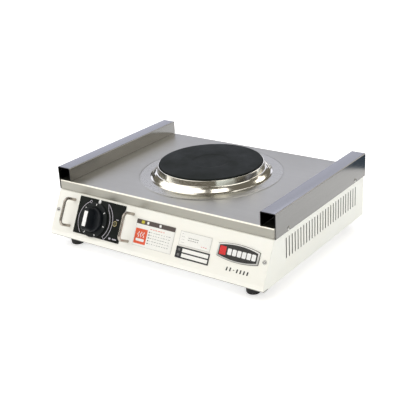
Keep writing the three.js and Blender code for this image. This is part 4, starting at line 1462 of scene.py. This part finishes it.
def makeRatingPlate():
    x, y, width, height = filmBase("rating_plate_film", "rating_plate", 0.8 * mm)
    left, top = x - width / 2, y + height / 2
    parts = frameLines(x, y, width, height, 0.45 * mm, outlineInk)
    for down, seed in ((9, 5), (12.4, 6)):
        parts.append(dashes(left + 18 * mm, top - down * mm, (1, 5, 0, 4.2, 1.1, 2, 3.9), seed, greyInk))
    parts.append(dashes(left + 5 * mm, top - 4 * mm, (4, 2, 4.6, 3.4, 0.5, 1, 3), 12, greyInk))
    parts.append(dashes(left + 44 * mm, top - 17.6 * mm, (1, 3, 0, 4, 0.8, 1.6, 3.4), 2, redInk))
    finishPrint("rating_plate_print", parts)


def makeSpecTab():
    x, y, width, _ = filmBase("spec_tab_film", "spec_tab", 0.6 * mm, blackInk)
    column = 11.5 * mm
    cellWidth = width - column - 2.6 * mm
    cellX = x - width / 2 + column + cellWidth / 2 + 0.4 * mm
    parts = []
    for side in (1, -1):
        parts.append(ink((cellX, y + side * 4.0 * mm), (cellWidth, 5.9 * mm), labelFilm))
        for bar in (-1, 0, 1):
            parts.append(ink((x - width / 2 + column / 2, y + (side * 4.0 + bar * 1.3) * mm),
                             (4.4 * mm, 0.6 * mm), greyInk, corner=0))
    finishPrint("spec_tab_print", parts)


badgeValues = {
    "down": 32.5 * mm,      # middle, down the panel from its top edge
    "height": 18.2 * mm,    # at the two ends
    "bulge": 4.4 * mm,
    "end": 2.4 * mm,        # rim's width at the two ends
    "edge": 1.3 * mm,       # and along the top and the bottom
    "shadowSheet": 0.5 * mm,    # dark sheet behind the rim, which shows round the badge as a painted shadow line
    "field": 1.45 * mm,     # height of the enamel
    "enamel": 0.12 * mm,
    "face": 1.9 * mm,
    "blocks": 6,            # plain light blocks on the field
}


def bulgedOutline(width, height, bulge, centre, steps=16):
    loop = []
    for side in (-1, 1):
        for step in range(steps + 1):
            share = -1 + 2 * step / steps
            loop.append((-side * share * width / 2, side * (height / 2 + bulge * (1 - share * share))))
    loop = [(a + centre[0], b + centre[1]) for a, b in loop]
    if sum(a[0] * b[1] - b[0] * a[1] for a, b in zip(loop, loop[1:] + loop[:1])) < 0:
        loop = loop[::-1]
    return loop


def makeBadge():
    # a pressed plate with a bright rim, a dark field, a red patch and a row of plain light blocks
    v = badgeValues
    low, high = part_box("badge")
    middle = (low + high) / 2 - knobPoint
    width, height = high.x - low.x, v["height"]
    centre = (middle.x, panelTop - v["down"])
    outline = bulgedOutline(width, height, v["bulge"], centre)
    rim = slab("badge_plate", outline, v["shadowSheet"] + 0.03 * mm, v["face"], silverTrim, panelPlace, 0.4 * mm)
    inner = (width - 2 * v["end"], height - 2 * v["edge"])
    well = slab("well", bulgedOutline(*inner, v["bulge"], centre), v["field"], v["face"] + 1 * mm,
                silverTrim, panelPlace)
    shapeWith(rim, [well])
    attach(rim, "casing")
    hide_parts("badge")
    level = v["field"]
    field = bulgedOutline(inner[0] - 0.2 * mm, inner[1] - 0.2 * mm, v["bulge"], centre)
    parts = [slab("ink", field, level, level + v["enamel"], darkEnamel, panelPlace)]
    # painted shadow: a dark sheet a little larger than the badge, showing as a shadow line round it
    behind = bulgedOutline(width + 1.3 * mm, height + 1.3 * mm, v["bulge"], centre)
    parts.append(slab("ink", behind, 0.02 * mm, v["shadowSheet"], darkEnamel, panelPlace))
    left = centre[0] - inner[0] / 2
    patch = (left + 7.4 * mm, centre[1])
    parts.append(ink(patch, (11.6 * mm, 13.2 * mm), redInk, level + v["enamel"], 0.8 * mm))
    pitch = (inner[0] - 17.5 * mm) / v["blocks"]
    for block in range(v["blocks"]):
        spot = (left + 15.4 * mm + pitch * (block + 0.5), centre[1])
        parts.append(ink(spot, (pitch - 1.5 * mm, 9.8 * mm), whiteInk, level + v["enamel"], 1.4 * mm))
    whole = joinPieces("badge_enamel", parts)
    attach(whole, "casing")


def makePlainRow():
    # a short row of plain strokes printed on the panel under the badge
    strokes = []
    for i in range(7):
        lean = panelPlace @ Matrix.Translation(((275.5 + 6.2 * i) * mm, -20.5 * mm, 0))
        height = (1.3 if i == 2 else 6.0) * mm
        outline = boxOutline(2.4 * mm, height, 0.5 * mm, (0, 0), 3)
        slanted = [(a + b * 0.15, b) for a, b in outline]
        strokes.append(slab("ink", slanted, 0.02 * mm, 0.09 * mm, blackInk, lean))
    row = joinPieces("plain_row_print", strokes)
    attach(row, "casing")


makeCareLabel()
makeRatingPlate()
makeSpecTab()
makeBadge()
makePlainRow()
print("labels made")


# feet and screws

footValues = {"sole": 11.2 * mm, "round": 2.6 * mm, "well": 6 * mm, "wellRadius": 4.6 * mm}


def makeFoot(node):
    v = footValues
    low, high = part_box(node)
    middle = (low + high) / 2
    tall = high.z - low.z
    radius = (high.x - low.x) / 2
    line = [
        (v["wellRadius"], 0, 0.6 * mm),
        (v["sole"], 0, v["round"]),
        (radius, tall * 0.5, 5 * mm),
        (radius, tall, 0.8 * mm),
        (2.2 * mm, tall, 0),
        (2.2 * mm, v["well"], 0),
        (v["wellRadius"], v["well"], 0.3 * mm),
    ]
    foot = turnedPiece(node + "_moulding", rounded(line, 0.5 * mm, 5, closed=True), 56, blackRubber,
                       Matrix.Translation((middle.x, middle.y, low.z)))
    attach(foot, "casing")
    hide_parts(node)


for footNode in ("front_foot_left", "front_foot_right", "rear_foot_left", "rear_foot_right"):
    makeFoot(footNode)


def makeScrewHeads():
    # a head over each casing screw; the CAD screws are hidden
    places, aims = [], []
    for sideName, side in (("left", -1), ("right", 1)):
        for end in ("front", "rear"):
            low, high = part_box(f"{sideName}_rail_screw_{end}")
            face = railHigh.x * side
            places.append(Vector((face, (low.y + high.y) / 2, (low.z + high.z) / 2)))
            aims.append(Vector((side, 0, 0)))
        low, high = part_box(f"rear_screw_{sideName}")
        places.append(Vector(((low.x + high.x) / 2, high.y - 1.9 * mm, (low.z + high.z) / 2)))
        aims.append(Vector((0, 1, 0)))
        low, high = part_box(f"front_screw_{sideName}")
        places.append(onPanel((low.x + high.x) / 2 - knobPoint.x, panelTop - 35 * mm, 0.1 * mm))
        aims.append(panelOut)
    low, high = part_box("earth_screw")
    places.append(Vector(((low.x + high.x) / 2, high.y - 1.9 * mm, (low.z + high.z) / 2)))
    aims.append(Vector((0, 1, 0)))
    heads = pointCloud("screw_heads", places, aims)
    runTree(heads, panHead, {
        "Head radius": 3.7 * mm,
        "Head height": 1.9 * mm,
        "Cross length": 4.6 * mm,
        "Cross width": 1.0 * mm,
        "Finish": screwSteel,
    }, 25)
    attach(heads, "casing")
    names = [f"{s}_rail_screw_{e}" for s in ("left", "right") for e in ("front", "rear")]
    names += [f"{e}_screw_{s}" for e in ("front", "rear") for s in ("left", "right")]
    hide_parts(*names, "earth_screw")


makeScrewHeads()
print("feet and screws made")


# finishes of the CAD nodes that stay as they are

finishBySlot = {
    "stainless": topSteel,
    "rail_steel": railSteel,
    "chrome": polishedSteel,
    "ivory_paint": ivoryPaint,
    "cast_iron": castIron,
    "zinc_steel": zincSteel,
    "black_plastic": knobPlastic,
    "white_plastic": whitePlastic,
    "rubber": blackRubber,
    "ceramic": ceramic,
    "label_film": labelFilm,
    "tab_film": blackInk,
    "badge_metal": silverTrim,
    "dial_black": dialPaint,
    "lamp_glass": amberLens,
    "resistance_wire": coilWire,
    "phenolic": phenolic,
    "lead_sleeve": leadSleeve,
}
for part in frame["record"]["subparts"]:
    node = nodes[part["node"]]
    node.data.materials.clear()
    node.data.materials.append(finishBySlot[part["material_slot"]])
print("CAD nodes finished")


# studio

cameraValues = {
    "azimuth": 36.31,
    "elevation": 22.96,
    "distance": 1.5116,
    "aim": (0.0, 0.0098, 0.0492),
    "roll": -3.11,
    "lens": 74.63,
}


def placeCamera():
    v = cameraValues
    azimuth, elevation, roll = (math.radians(v[key]) for key in ("azimuth", "elevation", "roll"))
    aim = Vector(v["aim"])
    away = Vector((math.sin(azimuth) * math.cos(elevation), -math.cos(azimuth) * math.cos(elevation),
                   math.sin(elevation)))
    across = Vector((0, 0, 1)).cross(away).normalized()
    over = away.cross(across)
    right = across * math.cos(roll) + over * math.sin(roll)
    up = over * math.cos(roll) - across * math.sin(roll)
    data = bpy.data.cameras.new("camera")
    data.lens = v["lens"]
    data.sensor_width = 36
    camera = addObject("camera", data)
    camera.matrix_world = Matrix.Translation(aim + away * v["distance"]) @ Matrix(
        (right, up, away)).transposed().to_4x4()
    bpy.context.scene.camera = camera


lightValues = {
    # name: azimuth from the front, elevation, distance, width, height, brightness, colour
    "left window": (-45, 47, 2.2, 3.7, 2.5, 1.48, (1.0, 0.99, 0.965)),
    "front window": (61, 58, 2.2, 0.8, 1.5, 2.3, (1.0, 0.99, 0.965)),
    "right window": (64, 20, 2.4, 1.7, 1.1, 0.72, (0.90, 1.0, 1.0)),
    "back right window": (147, 23, 2.4, 1.3, 1.2, 2.3, (1.0, 0.95, 0.88)),
    "top window": (180, 62, 2.2, 0.9, 0.9, 1.6, (1.0, 0.99, 0.97)),
    "back left sheet": (-143, 25, 2.6, 3.0, 1.7, 1.2, (0.79, 0.82, 1.0)),
    "back left top sheet": (-141, 37, 2.5, 2.2, 0.7, 0.7, (0.86, 0.88, 1.0)),
}
studioValues = {
    "world": (0.15, 0.138, 0.115),
    "floorGlowFrom": 0.28,
    "floorGlowTo": 1.3,
    "glow": (0.56, 1.0),
    "glowColour": (1.0, 0.995, 0.985, 1),
    "darkCloth": ((0.26, 0.40), (1.6, 1.4)),   # near and far corner of the cloth behind the table
}


def placeLights():
    centre = Vector((0, 0.02, 0.1))
    for name, (azimuth, elevation, distance, width, height, brightness, colour) in lightValues.items():
        around, over = math.radians(azimuth), math.radians(elevation)
        away = Vector((math.sin(around) * math.cos(over), -math.cos(around) * math.cos(over), math.sin(over)))
        data = bpy.data.lights.new(name, "AREA")
        data.shape = "RECTANGLE"
        data.size = width
        data.size_y = height
        data.energy = brightness * math.pi * width * height
        data.color = colour
        lamp = addObject(name, data)
        lamp.location = centre + away * distance
        lamp.rotation_euler = (-away).to_track_quat("-Z", "Y").to_euler()
    world = bpy.data.worlds.new("studio")
    bpy.context.scene.world = world
    world.use_nodes = True
    world.node_tree.nodes["Background"].inputs[0].default_value = (*studioValues["world"], 1)
    world.node_tree.nodes["Background"].inputs[1].default_value = 1.0


def dullSurface(name, scale, detail, first, second, rough):
    material, tree, shader = startMaterial(name)
    tone = noise(tree, objectCoords(tree), scale, detail)
    setInputs(tree, shader, {"Base Color": mixColour(tree, tone, first, second), "Roughness": rough})
    return material, tree, shader


def placeFloor():
    # a pale sheet, lit from under towards its far edges so that it has no horizon
    v = studioValues
    tones = ((0.91, 0.91, 0.905), (0.93, 0.93, 0.93))
    material, tree, shader = dullSurface("studio floor", 3.0, 2.0, *tones, 0.8)
    away = addNode(tree, "ShaderNodeVectorMath", {0: objectCoords(tree)}, operation="LENGTH").outputs["Value"]
    glow = spread(tree, away, v["glow"][0], v["glow"][1], v["floorGlowFrom"], v["floorGlowTo"])
    setInputs(tree, shader, {"Emission Strength": glow, "Emission Color": v["glowColour"]})
    half = 9.0
    corners = [(-half, -half, 0), (half, -half, 0), (half, half, 0), (-half, half, 0)]
    floor = newPiece("studio_floor", corners, [[0, 1, 2, 3]], material)


def placeBackdrop():
    # a pale round screen far behind the table on every side, which the object itself neither sees nor feels
    material, tree, shader = dullSurface("studio screen", 1.0, 2.0, (0.9, 0.9, 0.9), (0.93, 0.93, 0.93), 0.9)
    setInputs(tree, shader, {"Emission Strength": 1.0, "Emission Color": studioValues["glowColour"]})
    count, radius, height = 48, 8.5, 7.0
    turns = [i * math.tau / count for i in range(count)]
    points = [(radius * math.cos(a), radius * math.sin(a), z) for z in (-0.5, height) for a in turns]
    faces = [[i, i + count, (i + 1) % count + count, (i + 1) % count] for i in range(count)]
    screen = newPiece("studio_screen", points, faces, material)
    screen.visible_diffuse = False
    screen.visible_glossy = False
    screen.visible_shadow = False


def placeDarkCloth():
    # a blue-grey cloth past the table's back edge, which only the polished metal picks up
    (nearX, nearY), (farX, farY) = studioValues["darkCloth"]
    material = dullSurface("studio cloth", 6.0, 3.0, (0.09, 0.14, 0.20), (0.12, 0.18, 0.26), 0.9)[0]
    level = 3 * mm
    corners = [(nearX, nearY, level), (farX, nearY + 0.5, level), (farX, farY, level), (nearX, farY, level)]
    cloth = newPiece("studio_cloth", corners, [[0, 1, 2, 3]], material)
    cloth.visible_camera = False
    cloth.visible_diffuse = False
    cloth.visible_shadow = False


placeCamera()
placeLights()
placeFloor()
placeBackdrop()
placeDarkCloth()
bpy.context.scene.view_settings.view_transform = "Standard"
print("studio made")

bpy.context.view_layer.update()
